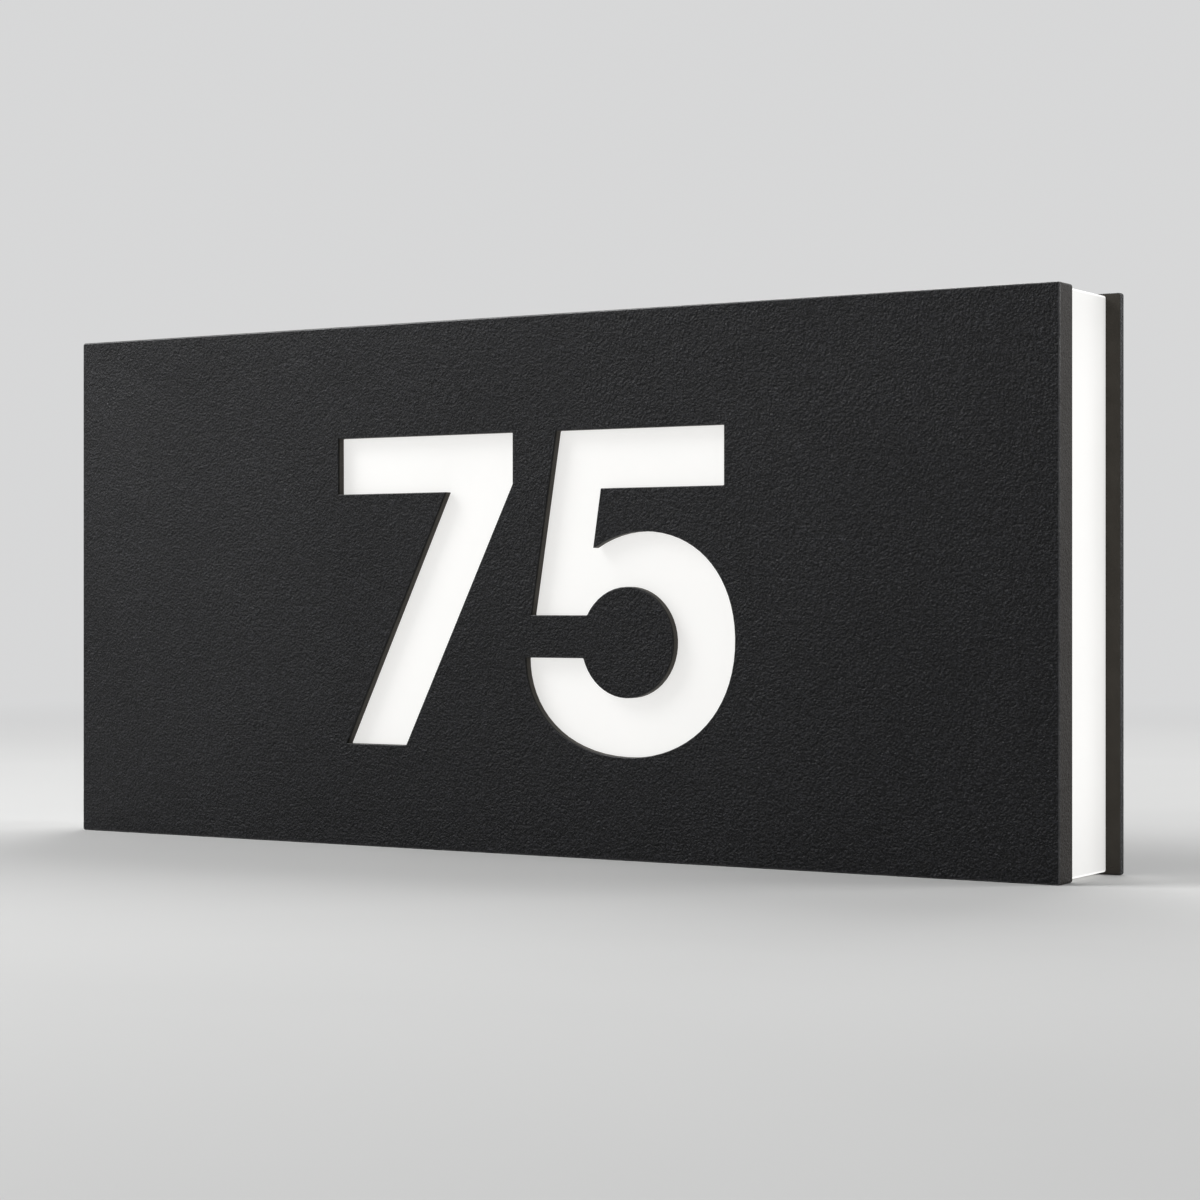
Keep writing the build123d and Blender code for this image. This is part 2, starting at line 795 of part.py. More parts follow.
# Mains leads leave the clamp tubes on the side that faces the driver
def mains_lead(name, pole, driver_side):
    start_x = block_x - block_length / 2 + lead_grip
    block_face = block_x - block_length / 2
    end_x = driver_x + driver_pin_face()
    case_x = driver_x + driver_length / 2
    end_z = driver_side * driver_lead_spacing / 2
    straight = mains_straight_share * (block_face - case_x)
    points = [
        (start_x, lead_y, pole_heights[pole]),
        (block_face - straight, lead_y, pole_heights[pole]),
        (case_x + straight, lead_y, end_z),
        (end_x, lead_y, end_z),
    ]
    return lead(name, points, mains_lead_radius)


def earth_lead():
    start_x = block_x - block_length / 2 + lead_grip
    bend_x = (block_x - block_length / 2 + earth_x) / 2
    tag_y = panel_front_y - tag_barrel_radius
    tag_mouth = tag_barrel_low() + tag_barrel_length
    pole_z = pole_heights[-1]
    points = [
        (start_x, lead_y, pole_z),
        (bend_x, lead_y, pole_z),
        (earth_x, tag_y, (pole_z + tag_mouth) / 2),
        (earth_x, tag_y, tag_barrel_low() + tag_barrel_floor),
    ]
    return lead("earth_lead", points, mains_lead_radius)


# Feed leads run along the back of the tray, then through it into the connector
def feed_lead(name, side):
    case_x = driver_x - driver_length / 2
    offset = side * driver_lead_spacing / 2
    hole_x = feed_x + side * feed_lead_spacing / 2
    hole_z = strip_heights[0]
    span_x = hole_x - case_x
    points = [(driver_x - driver_pin_face(), lead_y, offset)]
    for along, up, spacing in feed_route:
        points.append((case_x + along * span_x, lead_y, up * hole_z + spacing * offset))
    points += [(hole_x, lead_y, hole_z), (hole_x, tray_front_y, hole_z)]
    return lead(name, points, feed_lead_radius)


pieces = {
    "front_cover": front_cover(),
    "cover_tape": cover_tape(),
    "light_hood": light_hood(),
    "rear_seal": rear_seal(),
    "ledge_frame": ledge_frame(),
    "ledge_inserts": ledge_inserts(),
    "panel_gasket": panel_gasket(),
    "back_panel": back_panel(),
    "panel_screws": panel_screws(),
    "hanger_left": hanger(-hanger_x),
    "hanger_right": hanger(hanger_x),
    "hanger_rivets": hanger_rivets(),
    "led_tray": led_tray(),
    "tray_standoffs": tray_standoffs(),
    "standoff_screws": standoff_screws(),
    "tray_screws": tray_screws(),
    "strip_links": strip_links(),
    "feed_connector": feed_connector(),
    "driver_case": driver_case(),
    "driver_lid": driver_lid(),
    "driver_screws": driver_screws(),
    "driver_board": driver_board(),
    "driver_terminals": driver_terminals(),
    "driver_transformer": driver_transformer(),
    "driver_capacitors": driver_capacitors(),
    "terminal_block": terminal_block(),
    "terminal_clamps": terminal_clamps(),
    "terminal_screws": terminal_screws(),
    "block_screws": block_screws(),
    "cable_clamp": cable_clamp(),
    "clamp_screws": clamp_screws(),
    "panel_grommet": panel_grommet(),
    "earth_stud": earth_stud(),
    "earth_tag": earth_tag(),
    "earth_nut": earth_nut(),
    "live_lead": mains_lead("live_lead", 0, 1),
    "neutral_lead": mains_lead("neutral_lead", 1, -1),
    "earth_lead": earth_lead(),
    "feed_lead_positive": feed_lead("feed_lead_positive", 1),
    "feed_lead_negative": feed_lead("feed_lead_negative", -1),
    "wall_plate": wall_plate(),
    "hanging_studs": hanging_studs(),
    "wall_grommet": wall_grommet(),
}
for row in range(strip_count):
    pieces[f"led_strip_{row + 1}"] = led_strip(row)
    pieces[f"led_chips_{row + 1}"] = led_chips(row)

os.makedirs("parts", exist_ok=True)
for name, piece in pieces.items():
    export_step(piece, f"parts/{name}.step")
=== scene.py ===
import json
import math

import bmesh
import bpy
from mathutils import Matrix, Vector

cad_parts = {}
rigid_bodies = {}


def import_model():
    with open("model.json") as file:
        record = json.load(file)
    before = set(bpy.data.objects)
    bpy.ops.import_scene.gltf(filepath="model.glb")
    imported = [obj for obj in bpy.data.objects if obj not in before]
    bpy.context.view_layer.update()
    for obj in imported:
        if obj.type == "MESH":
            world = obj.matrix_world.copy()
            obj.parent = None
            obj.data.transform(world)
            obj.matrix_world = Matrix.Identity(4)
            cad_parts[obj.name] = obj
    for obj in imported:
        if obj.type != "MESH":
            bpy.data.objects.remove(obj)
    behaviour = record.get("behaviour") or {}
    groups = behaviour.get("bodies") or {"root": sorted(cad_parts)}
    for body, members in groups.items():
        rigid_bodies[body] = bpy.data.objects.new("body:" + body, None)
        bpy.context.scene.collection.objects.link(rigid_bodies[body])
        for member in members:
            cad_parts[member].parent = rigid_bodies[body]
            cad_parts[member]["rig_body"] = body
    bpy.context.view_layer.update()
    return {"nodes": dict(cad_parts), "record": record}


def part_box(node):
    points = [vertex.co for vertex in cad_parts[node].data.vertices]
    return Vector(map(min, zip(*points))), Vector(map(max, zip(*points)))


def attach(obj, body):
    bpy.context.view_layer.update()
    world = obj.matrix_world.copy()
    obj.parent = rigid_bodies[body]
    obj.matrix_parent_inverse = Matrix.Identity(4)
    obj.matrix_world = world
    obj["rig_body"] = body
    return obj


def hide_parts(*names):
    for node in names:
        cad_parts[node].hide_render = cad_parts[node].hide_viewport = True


# Illuminated house number sign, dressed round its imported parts. X runs along the sign, Y from its front
# to the wall, Z up. The scene is in metres; the looks and the makes of the pieces are in millimetres.

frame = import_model()
nodes = frame["nodes"]
millimetre = 0.001
weldReach = 1e-6  # corners closer than this are one corner


# Both corners of a node's box, in millimetres

def boxOf(node):
    return [corner * 1000 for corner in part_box(node)]


def meshOf(name, shape):
    mesh = bpy.data.meshes.new(name)
    shape.to_mesh(mesh)
    shape.free()
    return mesh


def addObject(name, data):
    added = bpy.data.objects.new(name, data)
    bpy.context.scene.collection.objects.link(added)
    return added


# Shader node helpers

def addNode(tree, kind, **settings):
    node = tree.nodes.new(kind)
    for key, value in settings.items():
        setattr(node, key, value)
    return node


def feed(tree, socket, source):
    if isinstance(source, bpy.types.NodeSocket):
        tree.links.new(source, socket)
    else:
        socket.default_value = source


def calc(tree, operation, first, second=0.0, clamp=False):
    node = addNode(tree, "ShaderNodeMath", operation=operation, use_clamp=clamp)
    feed(tree, node.inputs[0], first)
    feed(tree, node.inputs[1], second)
    return node.outputs[0]


def remap(tree, source, low, high, toLow=0.0, toHigh=1.0):
    node = addNode(tree, "ShaderNodeMapRange", interpolation_type="SMOOTHSTEP")
    for socket, value in zip(node.inputs, (source, low, high, toLow, toHigh)):
        feed(tree, socket, value)
    return node.outputs["Result"]


def mixColours(tree, share, first, second, blend="MIX"):
    node = addNode(tree, "ShaderNodeMix", data_type="RGBA", blend_type=blend)
    feed(tree, node.inputs["Factor"], share)
    feed(tree, node.inputs[6], first)
    feed(tree, node.inputs[7], second)
    return node.outputs[2]


def placeInMillimetres(tree, stretch=(1.0, 1.0, 1.0)):
    coordinates = addNode(tree, "ShaderNodeTexCoord")
    scaled = addNode(tree, "ShaderNodeVectorMath", operation="MULTIPLY")
    tree.links.new(coordinates.outputs["Object"], scaled.inputs[0])
    scaled.inputs[1].default_value = [1000.0 * share for share in stretch]
    return scaled.outputs[0]


def cloud(tree, place, fineness, detail, twist=0.0):
    node = addNode(tree, "ShaderNodeTexNoise")
    tree.links.new(place, node.inputs["Vector"])
    feed(tree, node.inputs["Scale"], fineness)
    node.inputs["Detail"].default_value = detail
    node.inputs["Distortion"].default_value = twist
    return node.outputs["Fac"]


def splitVector(tree, source):
    node = addNode(tree, "ShaderNodeSeparateXYZ")
    tree.links.new(source, node.inputs[0])
    return node.outputs


def surfaceNormal(tree):
    return splitVector(tree, addNode(tree, "ShaderNodeNewGeometry").outputs["Normal"])


def startGroup(name, inputs, outputs):
    tree = bpy.data.node_groups.new(name, "ShaderNodeTree")
    for title, value in inputs.items():
        socket = tree.interface.new_socket(title, in_out="INPUT", socket_type="NodeSocketFloat")
        socket.default_value = value
    for title in outputs:
        tree.interface.new_socket(title, in_out="OUTPUT", socket_type="NodeSocketFloat")
    return tree, addNode(tree, "NodeGroupInput"), addNode(tree, "NodeGroupOutput")


# Effects that several finishes share. A pair of values says where an effect sets in and where it is full.

grainShape = {
    "fineDetail": 3.0, "fineTwist": 0.6, "cellScale": 0.7, "cellSoftness": 0.6, "cellShare": 0.5,
    "peelDetail": 1.0, "peelShare": 0.5, "speckle": (0.45, 0.7),
}


def buildCoatGrain(values):
    tree, given, result = startGroup("coatGrain", {"Grain": 1.0, "Peel": 4.0}, ["Height", "Speckle"])
    place = placeInMillimetres(tree)
    fineness = calc(tree, "DIVIDE", 1.0, given.outputs["Grain"])
    fine = cloud(tree, place, fineness, values["fineDetail"], values["fineTwist"])
    cells = addNode(tree, "ShaderNodeTexVoronoi", feature="SMOOTH_F1")
    tree.links.new(place, cells.inputs["Vector"])
    feed(tree, cells.inputs["Scale"], calc(tree, "MULTIPLY", fineness, values["cellScale"]))
    cells.inputs["Smoothness"].default_value = values["cellSoftness"]
    peel = cloud(tree, place, calc(tree, "DIVIDE", 1.0, given.outputs["Peel"]), values["peelDetail"])
    pits = calc(tree, "MULTIPLY", cells.outputs["Distance"], values["cellShare"])
    swell = calc(tree, "MULTIPLY", peel, values["peelShare"])
    feed(tree, result.inputs["Height"], calc(tree, "ADD", calc(tree, "SUBTRACT", fine, pits), swell))
    feed(tree, result.inputs["Speckle"], remap(tree, fine, *values["speckle"]))
    return tree


wornPatches = {"detail": 4.0, "kept": (0.35, 0.6)}
wearShape = {"samples": 6, "agreement": (0.995, 0.85)}


def buildEdgeWear(values):
    tree, given, result = startGroup("edgeWear", {"Radius": 0.0006, "Patch": 6.0}, ["Mask"])
    rounded = addNode(tree, "ShaderNodeBevel", samples=values["samples"])
    feed(tree, rounded.inputs["Radius"], given.outputs["Radius"])
    surface = addNode(tree, "ShaderNodeNewGeometry")
    agreement = addNode(tree, "ShaderNodeVectorMath", operation="DOT_PRODUCT")
    tree.links.new(rounded.outputs["Normal"], agreement.inputs[0])
    tree.links.new(surface.outputs["Normal"], agreement.inputs[1])
    edge = remap(tree, agreement.outputs["Value"], *values["agreement"])
    fineness = calc(tree, "DIVIDE", 1.0, given.outputs["Patch"])
    patches = cloud(tree, placeInMillimetres(tree), fineness, wornPatches["detail"])
    kept = remap(tree, patches, *wornPatches["kept"])
    feed(tree, result.inputs["Mask"], calc(tree, "MULTIPLY", edge, kept, True))
    return tree


# Where a surface turns from facing front or back to facing sideways, which is where it is rounded,
# and where it turns from facing up or down to facing along the sign

roundShape = {"offSide": (0.04, 0.2), "offFace": (0.985, 0.9), "corner": (0.03, 0.2), "fineness": 0.16}


# The coats' lighter edges and the hood's painted highlight follow this mask; on the black coat the lighter
# edges are partly wear and partly a painted highlight
def buildRoundedEdge(values):
    tree, given, result = startGroup("roundedEdge", {"Broken": 0.3}, ["Mask", "Corner"])
    facing = surfaceNormal(tree)
    frontal = calc(tree, "ABSOLUTE", facing["Y"])
    offSide, offFace = [remap(tree, frontal, *values[name]) for name in ("offSide", "offFace")]
    rounded = calc(tree, "MULTIPLY", offSide, offFace)
    patches = cloud(tree, placeInMillimetres(tree), values["fineness"], wornPatches["detail"])
    least = calc(tree, "SUBTRACT", 1.0, given.outputs["Broken"])
    kept = remap(tree, patches, *wornPatches["kept"], least, 1.0)
    feed(tree, result.inputs["Mask"], calc(tree, "MULTIPLY", rounded, kept, True))
    across = calc(tree, "ABSOLUTE", calc(tree, "MULTIPLY", facing["X"], facing["Z"]))
    feed(tree, result.inputs["Corner"], remap(tree, across, *values["corner"]))
    return tree


patchShape = {"detail": 4.0, "twist": 0.3, "spread": (0.3, 0.7)}


def buildPatches(values):
    tree, given, result = startGroup("patches", {"Size": 40.0, "Low": 0.0, "High": 1.0}, ["Value"])
    fineness = calc(tree, "DIVIDE", 1.0, given.outputs["Size"])
    drift = cloud(tree, placeInMillimetres(tree), fineness, values["detail"], values["twist"])
    ends = (given.outputs["Low"], given.outputs["High"])
    feed(tree, result.inputs["Value"], remap(tree, drift, *values["spread"], *ends))
    return tree


lineShape = {"detail": 3.0, "along": 0.02}


def buildDrawLines(values):
    tree, given, result = startGroup("drawLines", {"Gap": 0.4, "Level": 1.0}, ["Height"])
    fineness = calc(tree, "DIVIDE", 1.0, given.outputs["Gap"])
    along = values["along"]
    level = cloud(tree, placeInMillimetres(tree, (along, 1.0, 1.0)), fineness, values["detail"])
    upright = cloud(tree, placeInMillimetres(tree, (1.0, 1.0, along)), fineness, values["detail"])
    chosen = addNode(tree, "ShaderNodeMix", data_type="FLOAT")
    feed(tree, chosen.inputs["Factor"], given.outputs["Level"])
    feed(tree, chosen.inputs[2], upright)
    feed(tree, chosen.inputs[3], level)
    feed(tree, result.inputs["Height"], chosen.outputs[0])
    return tree


dustShape = {"upward": (0.3, 1.0), "fineness": 0.5, "detail": 6.0, "patches": (0.35, 0.7)}


def buildDust(values):
    tree, given, result = startGroup("dust", {"Amount": 0.3}, ["Mask"])
    upward = remap(tree, surfaceNormal(tree)["Z"], *values["upward"])
    specks = cloud(tree, placeInMillimetres(tree), values["fineness"], values["detail"])
    lying = calc(tree, "MULTIPLY", upward, remap(tree, specks, *values["patches"]))
    feed(tree, result.inputs["Mask"], calc(tree, "MULTIPLY", lying, given.outputs["Amount"], True))
    return tree


effects = {
    "coatGrain": buildCoatGrain(grainShape),
    "edgeWear": buildEdgeWear(wearShape),
    "roundedEdge": buildRoundedEdge(roundShape),
    "patches": buildPatches(patchShape),
    "drawLines": buildDrawLines(lineShape),
    "dust": buildDust(dustShape),
}
print("effects built:", len(effects))


def effect(tree, name, **values):
    node = addNode(tree, "ShaderNodeGroup", node_tree=effects[name])
    for title, value in values.items():
        node.inputs[title.capitalize()].default_value = value
    return node


def startMaterial(name):
    material = bpy.data.materials.new(name)
    material.use_nodes = True
    tree = material.node_tree
    return material, tree, tree.nodes["Principled BSDF"]


def addBump(tree, shader, height, depth):
    bump = addNode(tree, "ShaderNodeBump")
    bump.inputs["Distance"].default_value = depth * millimetre
    tree.links.new(height, bump.inputs["Height"])
    tree.links.new(bump.outputs["Normal"], shader.inputs["Normal"])


# What the finishes are put together from

def patchy(tree, size, ends=(0.0, 1.0)):
    low, high = ends
    return effect(tree, "patches", size=size, low=low, high=high).outputs["Value"]


def twoTone(tree, look):
    return mixColours(tree, patchy(tree, look["patch"]), (*look["colour"], 1), (*look["shade"], 1))


def addGrain(tree, shader, look):
    grain = effect(tree, "coatGrain", grain=look["grain"], peel=look["peel"])
    addBump(tree, shader, grain.outputs["Height"], look["depth"])
    return grain.outputs["Speckle"]


dustColour = (0.3, 0.29, 0.27)
edgeCoatRough = 0.25
finePatch = 0.6  # size of the patches in the gloss, as a share of those in the colour


def coatedFinish(name, look):
    material, tree, shader = startMaterial(name)
    speckle = addGrain(tree, shader, look)
    edge = effect(tree, "roundedEdge", broken=look["broken"]).outputs["Mask"]
    dusty = effect(tree, "dust", amount=look["dust"]).outputs["Mask"]
    bright = [1.0 + look["fleck"]] * 3
    dull = [1.0 - look["fleck"]] * 3
    flecks = mixColours(tree, speckle, (*dull, 1), (*bright, 1))
    body = mixColours(tree, 1.0, twoTone(tree, look), flecks, "MULTIPLY")
    # Rounded edges turn towards the edge colour: wear, and on the black powder coat also a painted highlight
    # along the edges
    body = mixColours(tree, calc(tree, "MULTIPLY", edge, look["wearAndHighlight"]), body, (*look["wearAndHighlightColour"], 1))
    body = mixColours(tree, dusty, body, (*dustColour, 1))
    feed(tree, shader.inputs["Base Color"], body)
    rough = patchy(tree, look["patch"] * finePatch, look["rough"])
    speckled = calc(tree, "MULTIPLY", speckle, look["speckle"])
    feed(tree, shader.inputs["Roughness"], calc(tree, "SUBTRACT", rough, speckled, True))
    shader.inputs["Specular IOR Level"].default_value = look["gloss"]
    feed(tree, shader.inputs["Coat Weight"], calc(tree, "MULTIPLY", edge, look["edgeGloss"]))
    shader.inputs["Coat Roughness"].default_value = edgeCoatRough
    return material


metalEdge = {"radius": 0.3, "brightness": 0.5, "lines": (0.3, 0.7)}


def metalFinish(name, look):
    material, tree, shader = startMaterial(name)
    lines = effect(tree, "drawLines", gap=look["gap"], level=look["level"]).outputs["Height"]
    edge = effect(tree, "edgeWear", radius=metalEdge["radius"] * millimetre).outputs["Mask"]
    worn = calc(tree, "MULTIPLY", edge, metalEdge["brightness"])
    body = mixColours(tree, worn, twoTone(tree, look), (*look["bright"], 1))
    feed(tree, shader.inputs["Base Color"], body)
    feed(tree, shader.inputs["Roughness"], remap(tree, lines, *metalEdge["lines"], *look["rough"]))
    shader.inputs["Metallic"].default_value = 1.0
    addBump(tree, shader, lines, look["depth"])
    return material


# The hood's opal acrylic. Its glow is even on the face and the band and fades to the rear and to the upper
# and lower ends. A painted highlight raises it on rounded edges, and painted shade dims it on faces turned up
# and to the left, where the studio light falls strongest.

opalLook = {
    "colour": (0.35, 0.35, 0.345), "tint": (1.0, 0.992, 0.972), "rough": (0.3, 0.42), "ior": 1.49,
    "faceGlow": 0.685, "bandGlow": 0.68, "bandAhead": (0.4, 0.2), "edgePaintedHighlight": 0.26,
    "rearFade": 0.9, "rearStart": 12.0, "endFade": 0.9, "endReach": 34.0,
    "topPaintedShade": 0.72, "topTurn": (0.3, 0.95), "leftPaintedShade": 0.88, "leftTurn": (-0.95, -0.3),
    "drift": (0.985, 1.015), "driftPatch": 55.0, "roughPatch": 30.0,
    "grain": 2.5, "peel": 18.0, "depth": 0.004,
}


def opalGlow(tree, look):
    hoodLow, hoodHigh = boxOf("light_hood")
    noseEnd = boxOf("front_cover")[1].y
    place = splitVector(tree, placeInMillimetres(tree))
    onBand = remap(tree, place["Y"], *[noseEnd - ahead for ahead in look["bandAhead"]])
    level = remap(tree, onBand, 0.0, 1.0, look["faceGlow"], look["bandGlow"])
    rear = remap(tree, place["Y"], noseEnd + look["rearStart"], hoodHigh.y, 1.0, look["rearFade"])
    middle = (hoodLow.z + hoodHigh.z) / 2
    reach = hoodHigh.z - middle
    fromMiddle = calc(tree, "ABSOLUTE", calc(tree, "SUBTRACT", place["Z"], middle))
    ends = remap(tree, fromMiddle, reach - look["endReach"], reach, 1.0, look["endFade"])
    facing = surfaceNormal(tree)
    # Painted shade: the glow is dimmed on faces turned up and to the left, where the studio lamps fall
    # strongest
    top = remap(tree, facing["Z"], *look["topTurn"], 1.0, look["topPaintedShade"])
    left = remap(tree, facing["X"], *look["leftTurn"], look["leftPaintedShade"], 1.0)
    for fade in (rear, ends, top, left):
        level = calc(tree, "MULTIPLY", level, fade)
    # Painted highlight: the glow is raised along rounded edges and corners
    rounded = effect(tree, "roundedEdge", broken=0.0)
    edge = calc(tree, "MAXIMUM", rounded.outputs["Mask"], rounded.outputs["Corner"])
    level = calc(tree, "ADD", level, calc(tree, "MULTIPLY", edge, look["edgePaintedHighlight"]))
    return calc(tree, "MULTIPLY", level, patchy(tree, look["driftPatch"], look["drift"]))


def opalFinish(look):
    material, tree, shader = startMaterial("opalAcrylic")
    tint = addNode(tree, "ShaderNodeVectorMath", operation="SCALE")
    tint.inputs[0].default_value = look["tint"]
    tree.links.new(opalGlow(tree, look), tint.inputs["Scale"])
    tree.links.new(tint.outputs[0], shader.inputs["Emission Color"])
    shader.inputs["Emission Strength"].default_value = 1.0
    shader.inputs["Base Color"].default_value = (*look["colour"], 1)
    feed(tree, shader.inputs["Roughness"], patchy(tree, look["roughPatch"], look["rough"]))
    shader.inputs["IOR"].default_value = look["ior"]
    addGrain(tree, shader, look)
    return material


# What every coat shares unless it says otherwise
plainCoat = {
    "patch": 6.0, "grain": 0.6, "peel": 3.0, "depth": 0.01, "rough": (0.38, 0.48), "speckle": 0.04,
    "gloss": 0.5, "wearAndHighlight": 0.1, "broken": 0.5, "edgeGloss": 0.2, "fleck": 0.03, "dust": 0.03,
}

coatedLooks = {
    # The black coat's lighter edge colour is partly wear and partly a painted highlight along its rounded
    # edges
    "black_powder_coat": plainCoat | {
        "colour": (0.0095, 0.0097, 0.0116), "shade": (0.013, 0.0132, 0.0154),
        "wearAndHighlightColour": (0.05, 0.05, 0.052),
        "patch": 60.0, "grain": 0.7, "peel": 2.6, "depth": 0.55, "rough": (0.36, 0.44), "speckle": 0.1,
        "gloss": 0.17, "wearAndHighlight": 0.6, "broken": 0.35, "edgeGloss": 0.8, "fleck": 0.7, "dust": 0.04,
    },
    "black_foam": plainCoat | {
        "colour": (0.012, 0.012, 0.012), "shade": (0.02, 0.02, 0.02), "wearAndHighlightColour": (0.04, 0.04, 0.04),
        "patch": 12.0, "grain": 0.4, "peel": 1.5, "depth": 0.12, "rough": (0.85, 0.95), "speckle": 0.05,
        "gloss": 0.25, "fleck": 0.4, "dust": 0.05,
    },
    "black_rubber": plainCoat | {
        "colour": (0.018, 0.018, 0.019), "shade": (0.028, 0.028, 0.028), "wearAndHighlightColour": (0.06, 0.06, 0.06),
        "patch": 8.0, "grain": 0.5, "depth": 0.03, "rough": (0.6, 0.75), "speckle": 0.05, "gloss": 0.4,
        "wearAndHighlight": 0.25, "fleck": 0.12, "dust": 0.1,
    },
    "white_board": plainCoat | {
        "colour": (0.78, 0.78, 0.76), "shade": (0.7, 0.7, 0.67), "wearAndHighlightColour": (0.55, 0.5, 0.38),
        "patch": 20.0, "peel": 5.0, "rough": (0.3, 0.42), "speckle": 0.05, "wearAndHighlight": 0.2, "dust": 0.02,
    },
    "white_plastic": plainCoat | {
        "colour": (0.72, 0.72, 0.7), "shade": (0.66, 0.66, 0.63), "wearAndHighlightColour": (0.8, 0.8, 0.78),
        "patch": 30.0, "grain": 0.35, "peel": 6.0, "depth": 0.02, "rough": (0.42, 0.55), "speckle": 0.06,
        "gloss": 0.45, "wearAndHighlight": 0.2, "dust": 0.06,
    },
    "grey_plastic": plainCoat | {
        "colour": (0.24, 0.25, 0.26), "shade": (0.19, 0.2, 0.21), "wearAndHighlightColour": (0.38, 0.39, 0.4),
        "patch": 10.0, "grain": 0.4, "peel": 4.0, "depth": 0.03, "rough": (0.48, 0.6), "speckle": 0.06,
        "gloss": 0.45, "wearAndHighlight": 0.3, "dust": 0.05,
    },
    "led_body": plainCoat | {
        "colour": (0.82, 0.82, 0.8), "shade": (0.76, 0.76, 0.73), "wearAndHighlightColour": (0.85, 0.85, 0.83),
        "patch": 4.0, "grain": 0.15, "peel": 1.0, "depth": 0.005, "rough": (0.35, 0.45), "speckle": 0.03,
        "dust": 0.01,
    },
    "ferrite": plainCoat | {
        "colour": (0.055, 0.055, 0.058), "shade": (0.075, 0.075, 0.078), "wearAndHighlightColour": (0.12, 0.12, 0.124),
        "patch": 3.0, "grain": 0.25, "peel": 1.5, "depth": 0.03, "rough": (0.5, 0.65), "speckle": 0.06,
        "gloss": 0.45, "wearAndHighlight": 0.3, "fleck": 0.15, "dust": 0.02,
    },
    "green_board": plainCoat | {
        "colour": (0.015, 0.14, 0.055), "shade": (0.01, 0.095, 0.04), "wearAndHighlightColour": (0.42, 0.36, 0.16),
        "patch": 8.0, "grain": 0.8, "peel": 4.0, "depth": 0.02, "rough": (0.25, 0.38), "speckle": 0.06,
        "wearAndHighlight": 0.5, "dust": 0.02,
    },
    "green_plastic": plainCoat | {
        "colour": (0.02, 0.25, 0.09), "shade": (0.015, 0.2, 0.075), "wearAndHighlightColour": (0.08, 0.35, 0.16),
        "grain": 0.3, "depth": 0.02, "rough": (0.4, 0.5), "speckle": 0.05, "wearAndHighlight": 0.2,
    },
    "transformer_tape": plainCoat | {
        "colour": (0.72, 0.5, 0.06), "shade": (0.6, 0.4, 0.04), "wearAndHighlightColour": (0.8, 0.62, 0.15),
        "patch": 5.0, "grain": 0.7, "peel": 2.0, "depth": 0.03, "rough": (0.28, 0.4), "speckle": 0.05,
        "wearAndHighlight": 0.2, "dust": 0.02,
    },
    "capacitor_sleeve": plainCoat | {
        "colour": (0.012, 0.02, 0.06), "shade": (0.018, 0.028, 0.075), "wearAndHighlightColour": (0.06, 0.075, 0.14),
        "patch": 5.0, "grain": 0.8, "depth": 0.02, "rough": (0.22, 0.34), "speckle": 0.05, "gloss": 0.55,
        "wearAndHighlight": 0.2, "dust": 0.02,
    },
    "brown_pvc": plainCoat | {
        "colour": (0.13, 0.05, 0.022), "shade": (0.11, 0.04, 0.018), "wearAndHighlightColour": (0.2, 0.09, 0.05),
    },
    "blue_pvc": plainCoat | {
        "colour": (0.018, 0.08, 0.38), "shade": (0.014, 0.065, 0.32), "wearAndHighlightColour": (0.06, 0.16, 0.48),
    },
    "red_pvc": plainCoat | {
        "colour": (0.48, 0.02, 0.016), "shade": (0.4, 0.016, 0.013), "wearAndHighlightColour": (0.6, 0.08, 0.06),
    },
    "black_pvc": plainCoat | {
        "colour": (0.016, 0.016, 0.017), "shade": (0.022, 0.022, 0.023), "wearAndHighlightColour": (0.05, 0.05, 0.05),
    },
}

metalLooks = {
    "bare_aluminium": {
        "colour": (0.74, 0.75, 0.77), "shade": (0.66, 0.67, 0.69), "bright": (0.85, 0.86, 0.87),
        "patch": 70.0, "gap": 0.5, "level": 1.0, "depth": 0.01, "rough": (0.32, 0.46),
    },
    "zinc_steel": {
        "colour": (0.6, 0.61, 0.62), "shade": (0.5, 0.51, 0.53), "bright": (0.75, 0.75, 0.76),
        "patch": 9.0, "gap": 0.8, "level": 0.0, "depth": 0.01, "rough": (0.34, 0.5),
    },
    "stainless_steel": {
        "colour": (0.62, 0.62, 0.62), "shade": (0.55, 0.55, 0.55), "bright": (0.78, 0.78, 0.78),
        "patch": 4.0, "gap": 0.2, "level": 1.0, "depth": 0.005, "rough": (0.22, 0.36),
    },
    "brass": {
        "colour": (0.76, 0.55, 0.24), "shade": (0.66, 0.46, 0.19), "bright": (0.88, 0.68, 0.34),
        "patch": 5.0, "gap": 0.2, "level": 1.0, "depth": 0.005, "rough": (0.24, 0.38),
    },
    "tinned_copper": {
        "colour": (0.7, 0.69, 0.67), "shade": (0.6, 0.58, 0.55), "bright": (0.82, 0.8, 0.76),
        "patch": 4.0, "gap": 0.3, "level": 0.0, "depth": 0.005, "rough": (0.28, 0.42),
    },
}


# The phosphor under each LED's window: yellow, glowing a little, with fine grains

phosphorLook = {
    "colour": (0.85, 0.62, 0.1), "deeper": 0.8, "glow": (1.0, 0.93, 0.74), "strength": 0.5,
    "grain": 0.12, "peel": 0.8, "depth": 0.02, "rough": 0.25,
}


def phosphorFinish(look):
    material, tree, shader = startMaterial("ledPhosphor")
    deeper = [look["deeper"] * channel for channel in look["colour"]]
    body = mixColours(tree, addGrain(tree, shader, look), (*look["colour"], 1), (*deeper, 1))
    feed(tree, shader.inputs["Base Color"], body)
    shader.inputs["Roughness"].default_value = look["rough"]
    shader.inputs["Emission Color"].default_value = (*look["glow"], 1)
    shader.inputs["Emission Strength"].default_value = look["strength"]
    material.cycles.emission_sampling = "NONE"
    return material


# Earth insulation: green with yellow along both flanks. The flank says how steep a side turns yellow.

